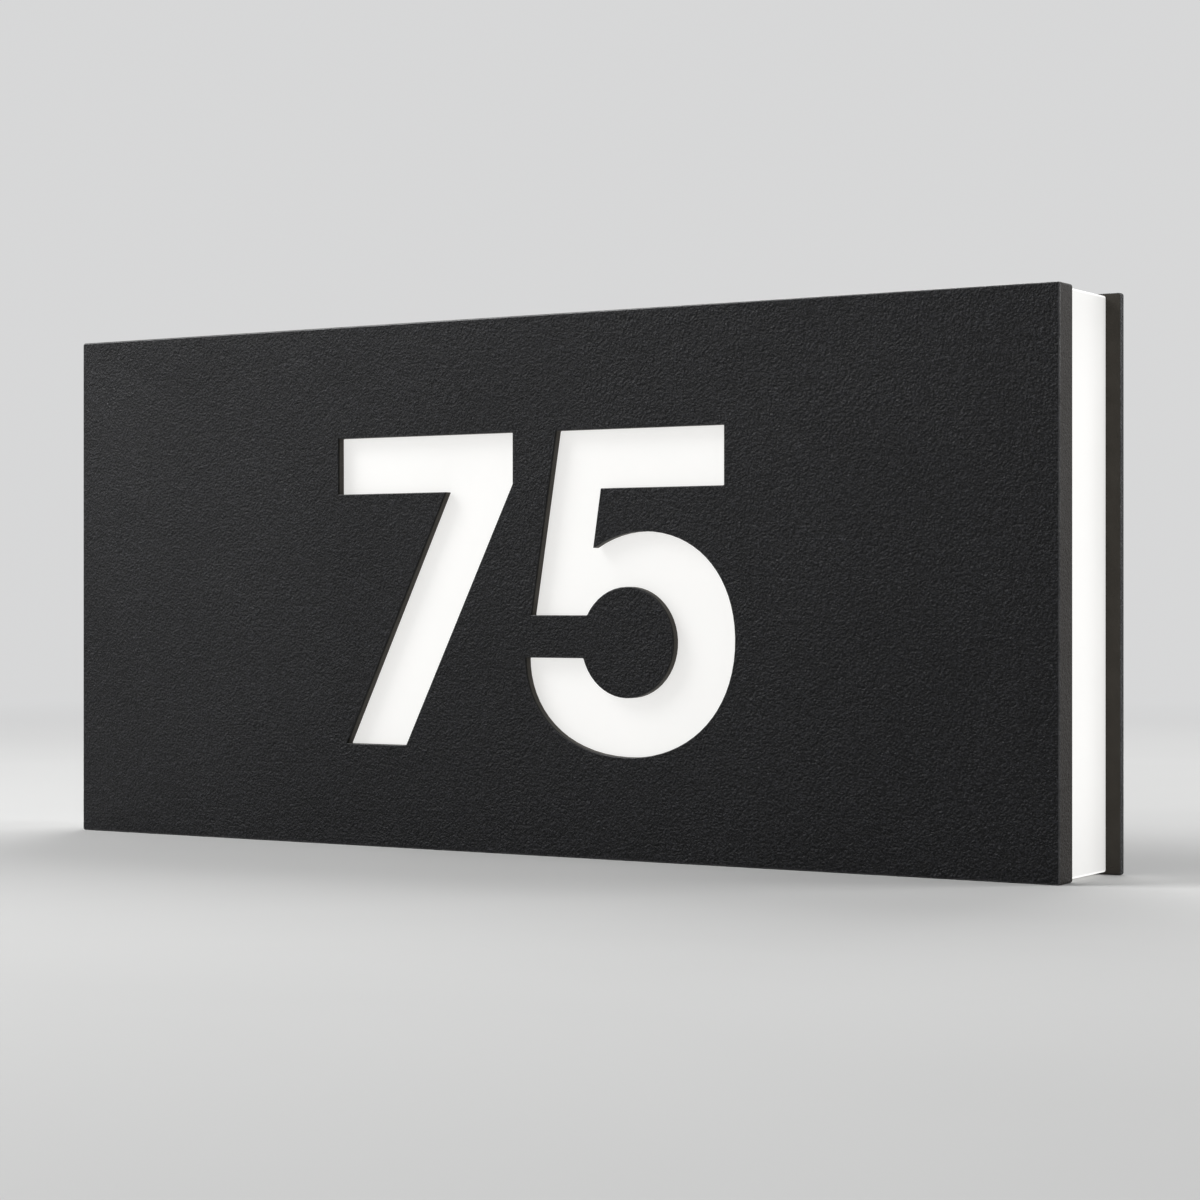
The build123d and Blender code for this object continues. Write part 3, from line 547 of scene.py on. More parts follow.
stripedLook = plainCoat | {
    "green": (0.03, 0.26, 0.05), "yellow": (0.8, 0.62, 0.03), "flank": (0.58, 0.64),
}


def stripedFinish(look):
    material, tree, shader = startMaterial("earthInsulation")
    flank = remap(tree, calc(tree, "ABSOLUTE", surfaceNormal(tree)["Y"]), *look["flank"])
    body = mixColours(tree, flank, (*look["green"], 1), (*look["yellow"], 1))
    feed(tree, shader.inputs["Base Color"], body)
    feed(tree, shader.inputs["Roughness"], patchy(tree, look["patch"], look["rough"]))
    addGrain(tree, shader, look)
    return material


# Faces beside the glowing hood, with the hood's warm light painted into their colour: the walls of the
# number's cut, the wall plate's front and the cover's two ends. A painted shadow, a black line along the
# cover's front edge, fades out between two shares of its depth.

paintedFrontShadow = {"colour": (0.0015, 0.0014, 0.0012), "fade": (0.7, 1.3)}
# Colours with the hood's warm glow painted in: on the walls of the cut and the wall plate's front, and on the
# cover's two ends
paintedGlowLooks = {
    "hoodGlowPaintedWalls": {
        "colour": (0.06, 0.054, 0.046), "shade": (0.05, 0.045, 0.038), "patch": 9.0, "frontShadowDepth": 1.1,
        "grain": 0.5, "peel": 2.0, "depth": 0.1, "rough": (0.45, 0.55), "gloss": 0.08,
    },
    "hoodGlowPaintedEnds": {
        "colour": (0.0215, 0.018, 0.0155), "shade": (0.027, 0.0235, 0.0205), "patch": 40.0, "frontShadowDepth": 0.6,
        "grain": 0.7, "peel": 2.6, "depth": 0.4, "rough": (0.4, 0.48), "gloss": 0.17,
    },
}


def paintedGlowFinish(name, look):
    material, tree, shader = startMaterial(name)
    place = splitVector(tree, placeInMillimetres(tree))
    front, depth = boxOf("front_cover")[0].y, look["frontShadowDepth"]
    # Painted shadow: towards the cover's front edge the colour darkens to a black line
    behind = remap(tree, place["Y"], *[front + depth * share for share in paintedFrontShadow["fade"]])
    body = mixColours(tree, behind, (*paintedFrontShadow["colour"], 1), twoTone(tree, look))
    feed(tree, shader.inputs["Base Color"], body)
    feed(tree, shader.inputs["Roughness"], patchy(tree, look["patch"] * finePatch, look["rough"]))
    shader.inputs["Specular IOR Level"].default_value = look["gloss"]
    addGrain(tree, shader, look)
    return material


finishes = {slot: coatedFinish(slot, look) for slot, look in coatedLooks.items()}
finishes |= {slot: metalFinish(slot, look) for slot, look in metalLooks.items()}
finishes |= {name: paintedGlowFinish(name, look) for name, look in paintedGlowLooks.items()}
finishes["opal_acrylic"] = opalFinish(opalLook)
finishes["led_chip"] = phosphorFinish(phosphorLook)
finishes["green_yellow_pvc"] = stripedFinish(stripedLook)
print("finishes made:", len(finishes))

slotOf = {part["node"]: part["material_slot"] for part in frame["record"]["subparts"]}
for name, node in nodes.items():
    node.data.materials.clear()
    node.data.materials.append(finishes[slotOf[name]])


# Where the separate solids of a node stand, in millimetres

def solidsOf(node):
    shape = bmesh.new()
    shape.from_mesh(nodes[node].data)
    bmesh.ops.remove_doubles(shape, verts=shape.verts, dist=weldReach)
    left = set(shape.verts)
    found = []
    while left:
        waiting = [left.pop()]
        island = []
        while waiting:
            corner = waiting.pop()
            island.append(corner.co.copy())
            for edge in corner.link_edges:
                other = edge.other_vert(corner)
                if other in left:
                    left.remove(other)
                    waiting.append(other)
        found.append([Vector([pick(values) for values in zip(*island)]) for pick in (min, max)])
    shape.free()
    found.sort(key=lambda ends: (round(ends[0].z, 4), round(ends[0].x, 4)))
    return [(low * 1000, high * 1000) for low, high in found]


# A new piece made of mesh code, riding where its node rides

def finishPiece(name, shape, node, materials, replace=True, sharpAngle=38.0):
    bmesh.ops.recalc_face_normals(shape, faces=shape.faces)
    mesh = meshOf(name, shape)
    piece = addObject(name, mesh)
    for material in materials:
        mesh.materials.append(finishes[material])
    mesh.shade_smooth()
    mesh.set_sharp_from_angle(angle=math.radians(sharpAngle))
    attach(piece, nodes[node]["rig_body"])
    if replace:
        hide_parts(node)


# One form for each separate solid of a node, all in one piece

def formEach(node, ending, materials, form, *values):
    shape = bmesh.new()
    for low, high in solidsOf(node):
        form(shape, low, high, *values)
    finishPiece(f"{node}_{ending}", shape, node, materials)


# A corner at a place in millimetres, as all forms below give their places

def addCorner(shape, x, y, z):
    return shape.verts.new((x * millimetre, y * millimetre, z * millimetre))


# Where an axis along Y stands that runs through the middle of a box

def axisOf(low, high):
    return (low.x + high.x) / 2, (low.z + high.z) / 2


# The faces between two rings, either of which may be a single point

def joinRound(shape, near, far, segments, material):
    for step in range(segments):
        around = (near[step % len(near)], near[(step + 1) % len(near)],
                  far[(step + 1) % len(far)], far[step % len(far)])
        corners = list(dict.fromkeys(around))
        if len(corners) > 2:
            shape.faces.new(corners).material_index = material


# A turned form round an axis along Y. The outline is a list of (radius, y); a radius may be a
# function of the turn, which is how threads are cut.

def turned(shape, x, z, outline, segments, closed=False, material=0):
    rings = []
    for radius, y in outline:
        ring = []
        for step in range(segments if callable(radius) or radius > 0 else 1):
            turn = 2 * math.pi * step / segments
            reach = radius(turn) if callable(radius) else radius
            ring.append(addCorner(shape, x + reach * math.cos(turn), y, z + reach * math.sin(turn)))
        rings.append(ring)
    pairs = list(zip(rings, rings[1:]))
    if closed:
        pairs.append((rings[-1], rings[0]))
    for near, far in pairs:
        joinRound(shape, near, far, segments, material)
    return rings


# The three points of a soft corner between a flat at y and a wall at the radius. out and along say how
# far it reaches on each, and which way; middle is how near its middle point stands, as a share.

def softCorner(radius, y, out, along, middle=0.3):
    return [(radius + out, y), (radius + out * middle, y + along * middle), (radius, y + along)]


def closeLoop(loop):
    return [(corner, loop[(i + 1) % len(loop)]) for i, corner in enumerate(loop)]


def joinRings(shape, rings):
    for near, far in zip(rings, rings[1:]):
        for (a, b), (c, d) in zip(closeLoop(near), closeLoop(far)):
            shape.faces.new((a, b, d, c))


# Fills the flat ring between two loops of corners

def fillBetween(shape, outer, inner):
    pairs = closeLoop(outer) + closeLoop(inner)
    edges = [shape.edges.get(pair) or shape.edges.new(pair) for pair in pairs]
    bmesh.ops.triangle_fill(shape, use_beauty=True, edges=edges)


def brick(shape, low, high, material=0):
    xs, ys, zs = zip(low, high)
    corners = [addCorner(shape, x, y, z) for x in xs for y in ys for z in zs]
    for face in ((0, 1, 3, 2), (4, 6, 7, 5), (0, 4, 5, 1), (2, 3, 7, 6), (0, 2, 6, 4), (1, 5, 7, 3)):
        shape.faces.new([corners[i] for i in face]).material_index = material


# Pan head screws along Y. The dome lists shares of the head's radius at depths under the crown.

screwMake = {
    "headRadius": 2.8, "headHeight": 2.0, "headChamfer": 0.1, "crownRadius": 1.9,
    "dome": ((0.86, 0.25), (0.97, 0.65), (1.0, 1.1)),
    "shankRadius": 1.5, "threadDepth": 0.28, "threadPitch": 0.5, "stepsPerTurn": 6,
    "neck": 0.3, "threadStop": 0.5, "point": 0.4, "pointShare": 0.6,
    "crossLength": 3.0, "crossWidth": 0.7, "crossDepth": 1.2, "crossTaper": 0.55, "sides": 24,
}


def threadRings(make, start, end):
    step = make["threadPitch"] / make["stepsPerTurn"]
    count = int(abs(end - start) / step)
    way = 1 if end > start else -1

    def cut(along):
        def radius(turn):
            phase = (along / make["threadPitch"] + turn / (2 * math.pi)) % 1
            return make["shankRadius"] - make["threadDepth"] * abs(2 * phase - 1)
        return radius

    stations = [start + way * step * i for i in range(count)]
    return [(cut(y), y) for y in stations]


def crossCorners(make):
    long, narrow = make["crossLength"] / 2, make["crossWidth"] / 2
    arms = []
    for quarter in range(4):
        turn = math.pi / 2 * quarter
        for across, out in ((narrow, narrow), (long, -narrow), (long, narrow)):
            dx = across * math.cos(turn) - out * math.sin(turn)
            dz = across * math.sin(turn) + out * math.cos(turn)
            arms.append((math.atan2(dz, dx) % (2 * math.pi), dx, dz))
    return [(dx, dz) for turn, dx, dz in sorted(arms)]


def panScrew(shape, low, high, make, way):
    x, z = axisOf(low, high)
    crown, tip = (low.y, high.y) if way > 0 else (high.y, low.y)
    seat = crown + way * make["headHeight"]
    head, shank = make["headRadius"], make["shankRadius"]
    outline = [(make["crownRadius"], crown)]
    outline += [(head * share, crown + way * depth) for share, depth in make["dome"]]
    outline += [(head, seat - way * make["headChamfer"]), (head - make["headChamfer"], seat), (shank, seat)]
    outline += threadRings(make, seat + way * make["neck"], tip - way * make["threadStop"])
    outline += [(shank - make["threadDepth"], tip - way * make["point"]), (shank * make["pointShare"], tip)]
    rings = turned(shape, x, z, outline + [(0.0, tip)], make["sides"])
    floorAt, taper = crown + way * make["crossDepth"], make["crossTaper"]
    mouth = [addCorner(shape, x + dx, crown, z + dz) for dx, dz in crossCorners(make)]
    floor = [addCorner(shape, x + dx * taper, floorAt, z + dz * taper) for dx, dz in crossCorners(make)]
    fillBetween(shape, rings[0], mouth)
    joinRings(shape, [mouth, floor])
    shape.faces.new(floor)


# Which way the screws of each node point: 1 to the wall, -1 to the front
screwWays = {
    "panel_screws": -1, "standoff_screws": -1, "tray_screws": 1,
    "driver_screws": 1, "block_screws": 1, "clamp_screws": 1,
}
for node, way in screwWays.items():
    formEach(node, "threaded", ["stainless_steel"], panScrew, screwMake, way)
print("screws cut:", len(screwWays))


# Domed rivets through the hangers and the back panel. Each dome lists shares of its radius and height.

rivetMake = {
    "shank": 1.6, "head": 3.0, "headHeight": 1.0, "tail": 2.6, "tailHeight": 0.8,
    "tailDome": ((0.55, 0.0), (0.9, 0.4), (1.0, 1.0)),
    "headDome": ((1.0, 1.0), (0.93, 0.6), (0.75, 0.25), (0.45, 0.05)),
    "mark": 0.6, "markFloor": 0.45, "markDepth": 0.5, "sides": 32,
}


def rivet(shape, low, high, make):
    front, back = low.y, high.y
    tail, head = make["tailHeight"], make["headHeight"]
    outline = [(0, front)]
    outline += [(make["tail"] * share, front + tail * rise) for share, rise in make["tailDome"]]
    outline += [(make["shank"], front + tail), (make["shank"], back - head)]
    outline += [(make["head"] * share, back - head * drop) for share, drop in make["headDome"]]
    markBottom = back - make["markDepth"]
    outline += [(make["mark"], back), (make["markFloor"], markBottom), (0, markBottom)]
    turned(shape, *axisOf(low, high), outline, make["sides"])


formEach("hanger_rivets", "domed", ["bare_aluminium"], rivet, rivetMake)


# Hanging studs: a rounded head, a plain shank, a collar and a riveted tail with a centre mark

studMake = {
    "head": 5.0, "headHeight": 2.0, "shank": 2.5, "fillet": 0.15, "round": 0.4, "mark": 1.1, "markDepth": 0.3,
    "collar": 4.5, "collarGap": 0.3, "tail": 3.0, "tailRound": (0.25, 0.15),
    "tailMark": 0.35, "tailMarkDepths": (0.45, 0.6), "sides": 40,
}


def hangingStud(shape, low, high, make):
    front, back = low.y, high.y
    soft, fillet = make["round"], make["fillet"]
    head, shank, collar, tail, mark = [make[name] for name in ("head", "shank", "collar", "tail", "mark")]
    headBack = front + make["headHeight"]
    markFloor = front + make["markDepth"]
    collarFront = boxOf("hanger_left")[1].y + make["collarGap"]
    plateFront = boxOf("wall_plate")[0].y
    outline = [(0, markFloor), (mark, markFloor), (mark + make["markDepth"], front)]
    outline += softCorner(head, front, -soft, soft)
    outline += [(head, headBack - soft), (head - soft, headBack)]
    outline += [(shank + fillet, headBack), (shank, headBack + fillet), (shank, collarFront)]
    outline += [(collar - soft, collarFront), (collar, collarFront + soft), (collar, plateFront)]
    inward, along = make["tailRound"]
    outline += [(tail, plateFront), (tail, back - along), (tail - inward, back)]
    rim, bottom = make["tailMarkDepths"]
    outline += [(mark + make["tailMark"], back), (mark, back - rim), (0, back - bottom)]
    turned(shape, *axisOf(low, high), outline, make["sides"])


formEach("hanging_studs", "turned", ["stainless_steel"], hangingStud, studMake)


# Rubber grommets with soft lips each side of their sheet

grommetMake = {
    "bore": 4.0, "neck": 8.0, "lip": 10.5, "lipHeight": 1.5, "lipChamfer": 0.1, "round": 0.45, "sides": 64,
}


def grommet(shape, low, high, make):
    soft, chamfer = make["round"], make["lipChamfer"]
    bore, neck, lip = make["bore"], make["neck"], make["lip"]
    front, back = low.y, high.y
    frontLip, backLip = front + make["lipHeight"], back - make["lipHeight"]
    outline = softCorner(bore, front, soft, soft)[::-1] + softCorner(lip, front, -soft, soft)
    outline += [(lip, frontLip - chamfer), (lip - chamfer, frontLip), (neck, frontLip)]
    outline += [(neck, backLip), (lip - chamfer, backLip), (lip, backLip + chamfer)]
    outline += softCorner(lip, back, -soft, -soft)[::-1] + softCorner(bore, back, soft, -soft)
    turned(shape, *axisOf(low, high), outline, make["sides"], closed=True)


for node in ("wall_grommet", "panel_grommet"):
    formEach(node, "moulded", ["black_rubber"], grommet, grommetMake)


# Hexagonal standoffs, chamfered at both ends and bored for their screws

standoffMake = {
    "radius": 3.2, "chamfer": 0.35, "bore": 1.55, "boreChamfer": 0.2, "boreDepth": 5.0, "boreSides": 20,
}


def hexRing(shape, x, z, y, radius):
    turns = [math.pi / 3 * step for step in range(6)]
    return [addCorner(shape, x + radius * math.cos(turn), y, z + radius * math.sin(turn)) for turn in turns]


def hexBody(shape, x, z, front, back, radius, chamfer):
    stations = ((front, radius - chamfer), (front + chamfer, radius),
                (back - chamfer, radius), (back, radius - chamfer))
    rings = [hexRing(shape, x, z, y, reach) for y, reach in stations]
    joinRings(shape, rings)
    return rings[0], rings[-1]


def standoff(shape, low, high, make):
    x, z = axisOf(low, high)
    bore, chamfer = make["bore"], make["boreChamfer"]
    ends = hexBody(shape, x, z, low.y, high.y, make["radius"], make["chamfer"])
    for end, y, inward in zip(ends, (low.y, high.y), (1, -1)):
        floor = y + inward * make["boreDepth"]
        outline = [(bore + chamfer, y), (bore, y + inward * chamfer), (bore, floor), (0, floor)]
        fillBetween(shape, end, turned(shape, x, z, outline, make["boreSides"])[0])


formEach("tray_standoffs", "hexagonal", ["zinc_steel"], standoff, standoffMake)


# Earth stud with its thread, and a chamfered nut

earthMake = {
    "shankRadius": 2.0, "threadDepth": 0.35, "threadPitch": 0.7, "stepsPerTurn": 6,
    "endRadius": 1.5, "endLength": 0.3, "threadStop": 0.1,
    "nutRadius": 4.0, "nutChamfer": 0.4, "nutBore": 2.05, "boreChamfer": 0.3, "sides": 24,
}


def earthStud(shape, low, high, make):
    outline = [(0.0, low.y), (make["endRadius"], low.y)]
    outline += threadRings(make, low.y + make["endLength"], high.y - make["threadStop"])
    outline += [(make["shankRadius"], high.y), (0.0, high.y)]
    turned(shape, *axisOf(low, high), outline, make["sides"])


def earthNut(shape, low, high, make):
    x, z = axisOf(low, high)
    front, back = low.y, high.y
    ends = hexBody(shape, x, z, front, back, make["nutRadius"], make["nutChamfer"])
    bore, chamfer = make["nutBore"], make["boreChamfer"]
    outline = [(bore + chamfer, front), (bore, front + chamfer), (bore, back - chamfer)]
    rings = turned(shape, x, z, outline + [(bore + chamfer, back)], make["sides"])
    fillBetween(shape, ends[0], rings[0])
    fillBetween(shape, ends[1], rings[-1])


formEach("earth_stud", "threaded", ["stainless_steel"], earthStud, earthMake)
formEach("earth_nut", "chamfered", ["stainless_steel"], earthNut, earthMake)
print("small metalwork made")


# LED packages: a white body with a round phosphor window and a solder pad at each side

chipMake = {
    "body": 4.5, "cornerCut": 0.5, "chamfer": 0.12,
    "window": 1.9, "windowDepth": 0.18, "windowTaper": 0.12, "sides": 24,
    "domeShare": 0.6, "domeDepths": (0.1, 0.06),
    "padLength": 0.45, "padWidth": 3.6, "padHeight": 0.25, "padUnder": 0.1,
}


def cutSquare(shape, x, z, y, half, cut):
    places = [(half - cut, half), (cut - half, half), (-half, half - cut), (-half, cut - half),
              (cut - half, -half), (half - cut, -half), (half, cut - half), (half, half - cut)]
    return [addCorner(shape, x + dx, y, z + dz) for dx, dz in places]


def ledPackage(shape, low, high, make):
    x, z = axisOf(low, high)
    front, back = low.y, high.y
    half, chamfer, window = make["body"] / 2, make["chamfer"], make["window"]
    stations = ((front, half - chamfer), (front + chamfer, half), (back, half))
    rings = [cutSquare(shape, x, z, y, reach, make["cornerCut"]) for y, reach in stations]
    joinRings(shape, rings)
    shape.faces.new(rings[-1])
    bottom = (window - make["windowTaper"], front + make["windowDepth"])
    circle = turned(shape, x, z, [(window, front), bottom], make["sides"])
    fillBetween(shape, rings[0], circle[0])
    shoulder, top = make["domeDepths"]
    dome = [bottom, (window * make["domeShare"], front + shoulder), (0, front + top)]
    turned(shape, x, z, dome, make["sides"], material=1)
    for side in (-1, 1):
        ends = sorted((x + side * (half - make["padUnder"]), x + side * (half + make["padLength"] / 2)))
        brick(shape, (ends[0], back - make["padHeight"], z - make["padWidth"] / 2),
              (ends[1], back, z + make["padWidth"] / 2), 2)


# Strips: boards with solder pads at each cut line and a small resistor by every third package

stripMake = {
    "padWidth": 1.8, "padHeight": 2.2, "padRise": 0.05, "padUp": 3.0, "padSpread": 0.65,
    "resistorLength": 2.0, "resistorWidth": 1.2, "resistorHeight": 0.55, "resistorGap": 7.0,
    "resistorBody": 0.6, "capDrop": 0.03, "resistorEvery": 3,
}


def cutLinePads(shape, x, z, front, make):
    wide, high, rise = make["padWidth"] / 2, make["padHeight"] / 2, make["padRise"]
    for side in (-1, 1):
        for up in (-1, 1):
            padX, padZ = x + side * make["padWidth"] * make["padSpread"], z + up * make["padUp"]
            brick(shape, (padX - wide, front - rise, padZ - high), (padX + wide, front, padZ + high))


def resistor(shape, x, z, front, make):
    reach, half = make["resistorLength"] / 2, make["resistorWidth"] / 2
    inner = reach * make["resistorBody"]
    top = front - make["resistorHeight"]
    brick(shape, (x - inner, top, z - half), (x + inner, front, z + half), 1)
    for side in (-1, 1):
        ends = sorted((x + side * inner, x + side * reach))
        brick(shape, (ends[0], top + make["capDrop"], z - half), (ends[1], front, z + half))


def dressStrip(row):
    strip, chips = f"led_strip_{row}", f"led_chips_{row}"
    formEach(chips, "packages", ["led_body", "led_chip", "tinned_copper"], ledPackage, chipMake)
    front = boxOf(strip)[0].y
    middles = [(low + high) / 2 for low, high in solidsOf(chips)]
    shape = bmesh.new()
    for number, middle in enumerate(middles):
        if number:
            cutLinePads(shape, (middle.x + middles[number - 1].x) / 2, middle.z, front, stripMake)
        if number % stripMake["resistorEvery"] == 1:
            resistor(shape, middle.x + stripMake["resistorGap"], middle.z, front, stripMake)
    finishPiece(strip + "_solder", shape, strip, ["tinned_copper", "black_pvc"], replace=False)


for row in range(1, 6):
    dressStrip(row)
print("light strips dressed")


# Transformer: a ferrite core with a winding in taped layers

transformerMake = {
    "coreLength": 22.0, "coreWidth": 18.0, "windingLength": 11.0, "swell": 1.0,
    "layers": 5, "layerInset": 0.25, "layerDrop": 0.3, "edgeRound": 0.15, "roundSteps": 2,
}


def transformer(shape, low, high, make):
    x, z = axisOf(low, high)
    reach, half = make["windingLength"] / 2, make["coreWidth"] / 2
    for side in (-1, 1):
        ends = sorted((x + side * make["coreLength"] / 2, x + side * reach))
        brick(shape, (ends[0], low.y, z - half), (ends[1], high.y, z + half))
    swollen = half + make["swell"]
    step = make["windingLength"] / make["layers"]
    for layer in range(make["layers"]):
        inset = make["layerInset"] * abs(layer - (make["layers"] - 1) / 2)
        start = x - reach + layer * step
        brick(shape, (start, low.y + inset * make["layerDrop"], z - swollen + inset),
              (start + step, high.y, z + swollen - inset), 1)
    offset = make["edgeRound"] * millimetre
    bmesh.ops.bevel(shape, geom=shape.edges[:], offset=offset, segments=make["roundSteps"], affect="EDGES")


# Capacitors lie along X: a sleeve with a crimp near its foot, open at a vented top. The crimp lists
# shares of the radius and of the length.

capacitorMake = {
    "round": 0.5, "ventDepth": 0.3, "vent": (0.7, 0.75), "sides": 28,
    "crimp": ((1.0, 0.86), (0.9, 0.89), (0.9, 0.91), (1.0, 0.94)),
}


def capacitorCan(shape, low, high, make):
    y, z = (low.y + high.y) / 2, (low.z + high.z) / 2
    radius, span = (high.z - low.z) / 2, high.x - low.x
    soft, sides = make["round"], make["sides"]
    inner, outer = make["vent"]
    outline = [(0, make["ventDepth"]), (radius * inner, make["ventDepth"]), (radius * outer, 0)]
    outline += softCorner(radius, 0, -soft, soft)
    outline += [(radius * share, span * along) for share, along in make["crimp"]]
    outline += [(radius, span - soft), (radius - soft, span), (0, span)]
    rings = []
    for reach, along in outline:
        turns = [2 * math.pi * step / sides for step in range(sides if reach else 1)]
        rings.append([addCorner(shape, low.x + along, y + reach * math.cos(turn), z + reach * math.sin(turn))
                      for turn in turns])
    for number, (near, far) in enumerate(zip(rings, rings[1:])):
        joinRound(shape, near, far, sides, 1 if number < 2 else 0)


formEach("driver_transformer", "wound", ["ferrite", "transformer_tape"], transformer, transformerMake)
formEach("driver_capacitors", "sleeved", ["capacitor_sleeve", "bare_aluminium"], capacitorCan, capacitorMake)
print("driver parts made")


# Faces that get one of the finishes with the hood's glow painted in: the walls inside the cover's rim, its
# two ends, and the front of the wall plate

paintedGlowPlaces = {
    "finishesOf": {"front_cover": ["hoodGlowPaintedWalls", "hoodGlowPaintedEnds"], "wall_plate": ["hoodGlowPaintedWalls"]},
    "rimWidth": 15.0, "endWidth": 1.0, "mostSideways": 0.3, "mostFrontal": 0.9,
}


def paintedGlowSlot(node, face, places):
    if node == "wall_plate":
        return 1 if face.normal.y < -places["mostFrontal"] else 0
    if node != "front_cover" or abs(face.normal.y) > places["mostSideways"]:
        return 0
    low, high = boxOf(node)
    middle = face.calc_center_median() * 1000
    fromEnd = min(middle.x - low.x, high.x - middle.x)
    fromRim = min(fromEnd, middle.z - low.z, high.z - middle.z)
    if fromRim > places["rimWidth"]:
        return 1
    return 2 if fromEnd < places["endWidth"] else 0


# A piece that takes its CAD node's place with broken edges, as paint, folding and moulding leave them.
# Neighbouring faces within flatAngle degrees become one, and edges above sharpAngle are rounded.

def softened(node, radius, segments=2, flatAngle=0.5, sharpAngle=35.0):
    mesh = nodes[node].data.copy()
    mesh.name = node
    for name in paintedGlowPlaces["finishesOf"].get(node, []):
        mesh.materials.append(finishes[name])
    shape = bmesh.new()
    shape.from_mesh(mesh)
    bmesh.ops.remove_doubles(shape, verts=shape.verts, dist=weldReach)
    flat = math.radians(flatAngle)
    bmesh.ops.dissolve_limit(shape, angle_limit=flat, verts=shape.verts, edges=shape.edges)
    for face in shape.faces:
        face.smooth = True
        face.material_index = paintedGlowSlot(node, face, paintedGlowPlaces)
    shape.to_mesh(mesh)
    shape.free()
    if "custom_normal" in mesh.attributes:
        mesh.attributes.remove(mesh.attributes["custom_normal"])
    piece = addObject(node + "_finished", mesh)
    bevel = piece.modifiers.new("brokenEdges", "BEVEL")
    bevel.width = radius * millimetre
    bevel.segments = segments
    bevel.limit_method = "ANGLE"
    bevel.angle_limit = math.radians(sharpAngle)
    bevel.harden_normals = True
    bevel.miter_outer = "MITER_ARC"
    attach(piece, nodes[node]["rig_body"])
    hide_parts(node)


# Edge radius of each piece in millimetres
edgeRadii = {
    "front_cover": 0.3, "wall_plate": 0.15, "light_hood": 0.15, "rear_seal": 0.25, "cover_tape": 0.08,
    "panel_gasket": 0.12, "ledge_frame": 0.3, "ledge_inserts": 0.1, "back_panel": 0.15, "led_tray": 0.2,
    "hanger_left": 0.2, "hanger_right": 0.2, "feed_connector": 0.4, "driver_case": 0.3,
    "driver_lid": 0.35, "driver_board": 0.1, "driver_terminals": 0.25, "terminal_block": 0.35,
    "terminal_clamps": 0.12, "terminal_screws": 0.12, "cable_clamp": 0.4, "earth_tag": 0.12,
    "strip_links": 0.05,
}
edgeRadii |= {f"led_strip_{row}": 0.1 for row in range(1, 6)}
for node, radius in edgeRadii.items():
    softened(node, radius)
print("edges broken:", len(edgeRadii))


# Floor, studio light and camera, in metres. The floor passes into the backdrop's colour between the two
# fade distances, in millimetres, so that no horizon shows.

studio = {
    "floor": {"colour": (0.62, 0.62, 0.615), "shade": (0.6014, 0.6014, 0.59655), "patch": 300.0},
    "floorRough": 0.8, "floorGloss": 0.04, "floorReach": 9.0, "floorSides": 96, "fade": (400.0, 1700.0),
    "backdropColour": (0.68, 0.682, 0.685), "fillColour": (0.24, 0.242, 0.245),
    "lampsAimAt": (0, 0, 0.1),
    "lamps": {
        "keyLamp": {"place": (-0.84, -0.66, 1.16), "size": (0.7, 0.7), "power": 15.0},
        "leftLamp": {"place": (-1.75, -1.05, 0.8), "size": (0.8, 0.8), "power": 9.0},
        "backLamp": {"place": (-0.3, 1.1, 1.5), "size": (1.2, 1.0), "power": 16.0},
        "rightLamp": {"place": (1.7, 1.0, 0.9), "size": (0.9, 0.9), "power": 18.0},
    },
}


def blendShaders(tree, share, first, second, output):
    blended = addNode(tree, "ShaderNodeMixShader")
    for socket, source in zip(blended.inputs, (share, first.outputs[0], second.outputs[0])):
        tree.links.new(source, socket)
    tree.links.new(blended.outputs[0], output.inputs["Surface"])


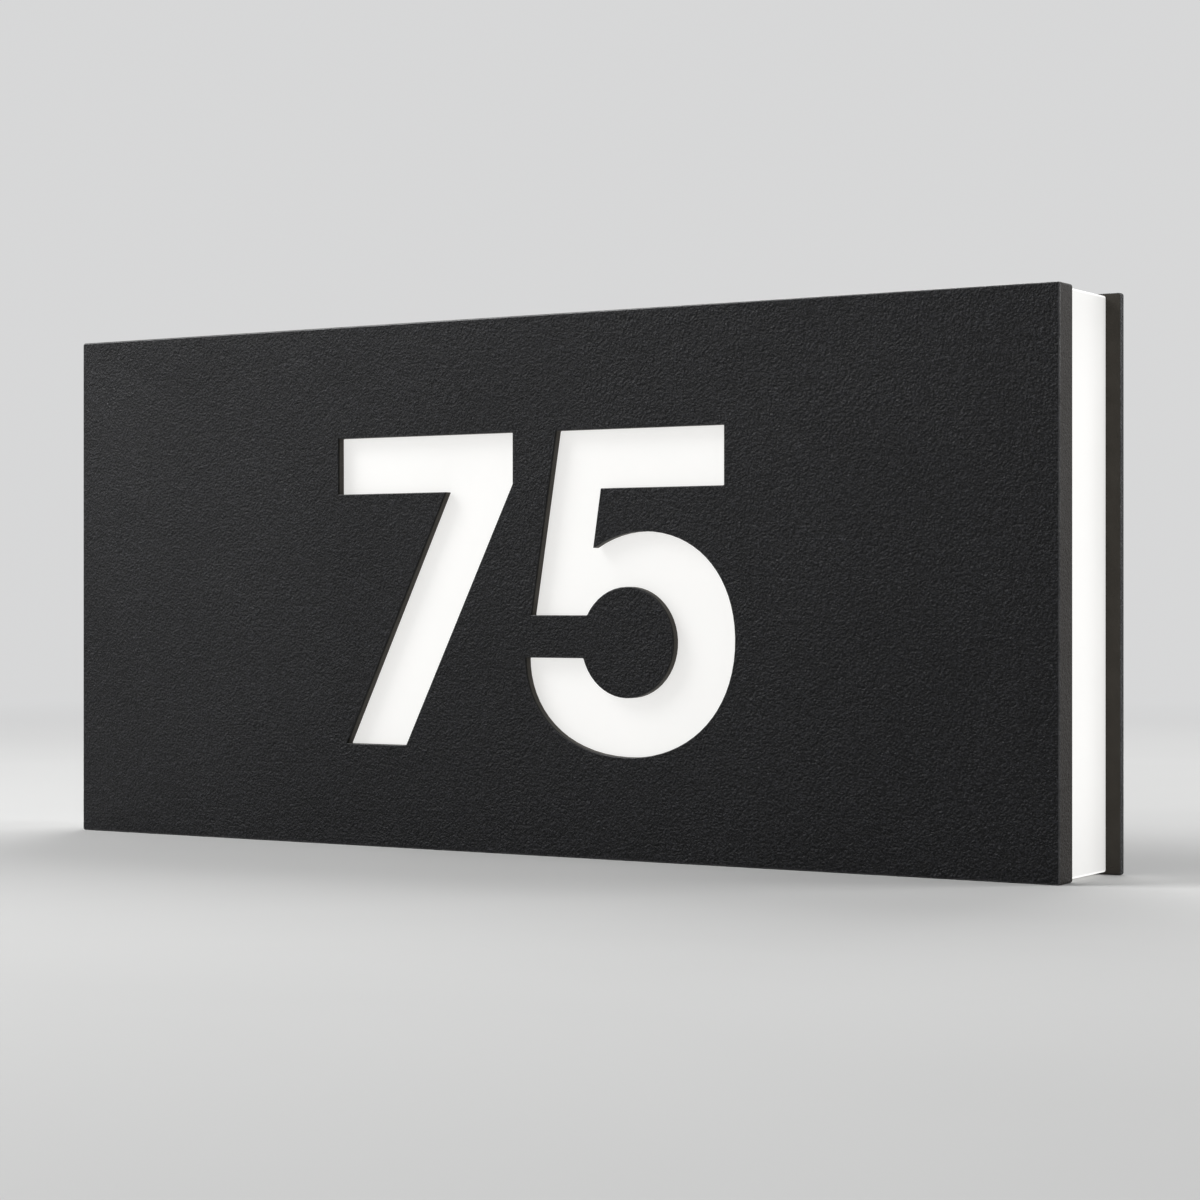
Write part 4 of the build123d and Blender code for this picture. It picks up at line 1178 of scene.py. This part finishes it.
def floorMaterial(values):
    material, tree, shader = startMaterial("paleFloor")
    feed(tree, shader.inputs["Base Color"], twoTone(tree, values["floor"]))
    shader.inputs["Roughness"].default_value = values["floorRough"]
    shader.inputs["Specular IOR Level"].default_value = values["floorGloss"]
    distance = addNode(tree, "ShaderNodeVectorMath", operation="LENGTH")
    tree.links.new(placeInMillimetres(tree), distance.inputs[0])
    far = remap(tree, distance.outputs["Value"], *values["fade"])
    backdrop = addNode(tree, "ShaderNodeEmission")
    backdrop.inputs["Color"].default_value = (*values["backdropColour"], 1)
    blendShaders(tree, far, shader, backdrop, tree.nodes["Material Output"])
    return material


def layFloor(values):
    shape = bmesh.new()
    sides, reach = values["floorSides"], values["floorReach"]
    bmesh.ops.create_circle(shape, cap_ends=True, segments=sides, radius=reach)
    mesh = meshOf("floor", shape)
    mesh.materials.append(floorMaterial(values))
    addObject("floor", mesh)


def lightWorld(values):
    world = bpy.data.worlds.new("studio")
    world.use_nodes = True
    tree = world.node_tree
    fill = tree.nodes["Background"]
    fill.inputs["Color"].default_value = (*values["fillColour"], 1)
    backdrop = addNode(tree, "ShaderNodeBackground")
    backdrop.inputs["Color"].default_value = (*values["backdropColour"], 1)
    ray = addNode(tree, "ShaderNodeLightPath")
    mirrored = calc(tree, "MAXIMUM", ray.outputs["Is Glossy Ray"], ray.outputs["Is Transmission Ray"])
    seen = calc(tree, "MAXIMUM", ray.outputs["Is Camera Ray"], mirrored)
    blendShaders(tree, seen, fill, backdrop, tree.nodes["World Output"])
    bpy.context.scene.world = world


# Turns a lamp or camera so that it looks along the heading

def lookAlong(thing, place, heading):
    thing.location = place
    thing.rotation_euler = Vector(heading).to_track_quat("-Z", "Y").to_euler()


def hangLamp(name, values, target):
    light = bpy.data.lights.new(name, "AREA")
    light.shape = "RECTANGLE"
    light.size, light.size_y = values["size"]
    light.energy = values["power"]
    lookAlong(addObject(name, light), values["place"], Vector(target) - Vector(values["place"]))


layFloor(studio)
lightWorld(studio)
for lampName, lampValues in studio["lamps"].items():
    hangLamp(lampName, lampValues, studio["lampsAimAt"])

photoView = {"place": (0.5814, -0.8962, 0.0945), "heading": (-0.53008, 0.84795, 0.0), "lens": 84.8}
camera = addObject("camera", bpy.data.cameras.new("camera"))
camera.data.lens = photoView["lens"]
lookAlong(camera, photoView["place"], photoView["heading"])
bpy.context.scene.camera = camera
bpy.context.scene.view_settings.view_transform = "Standard"
print("studio set")
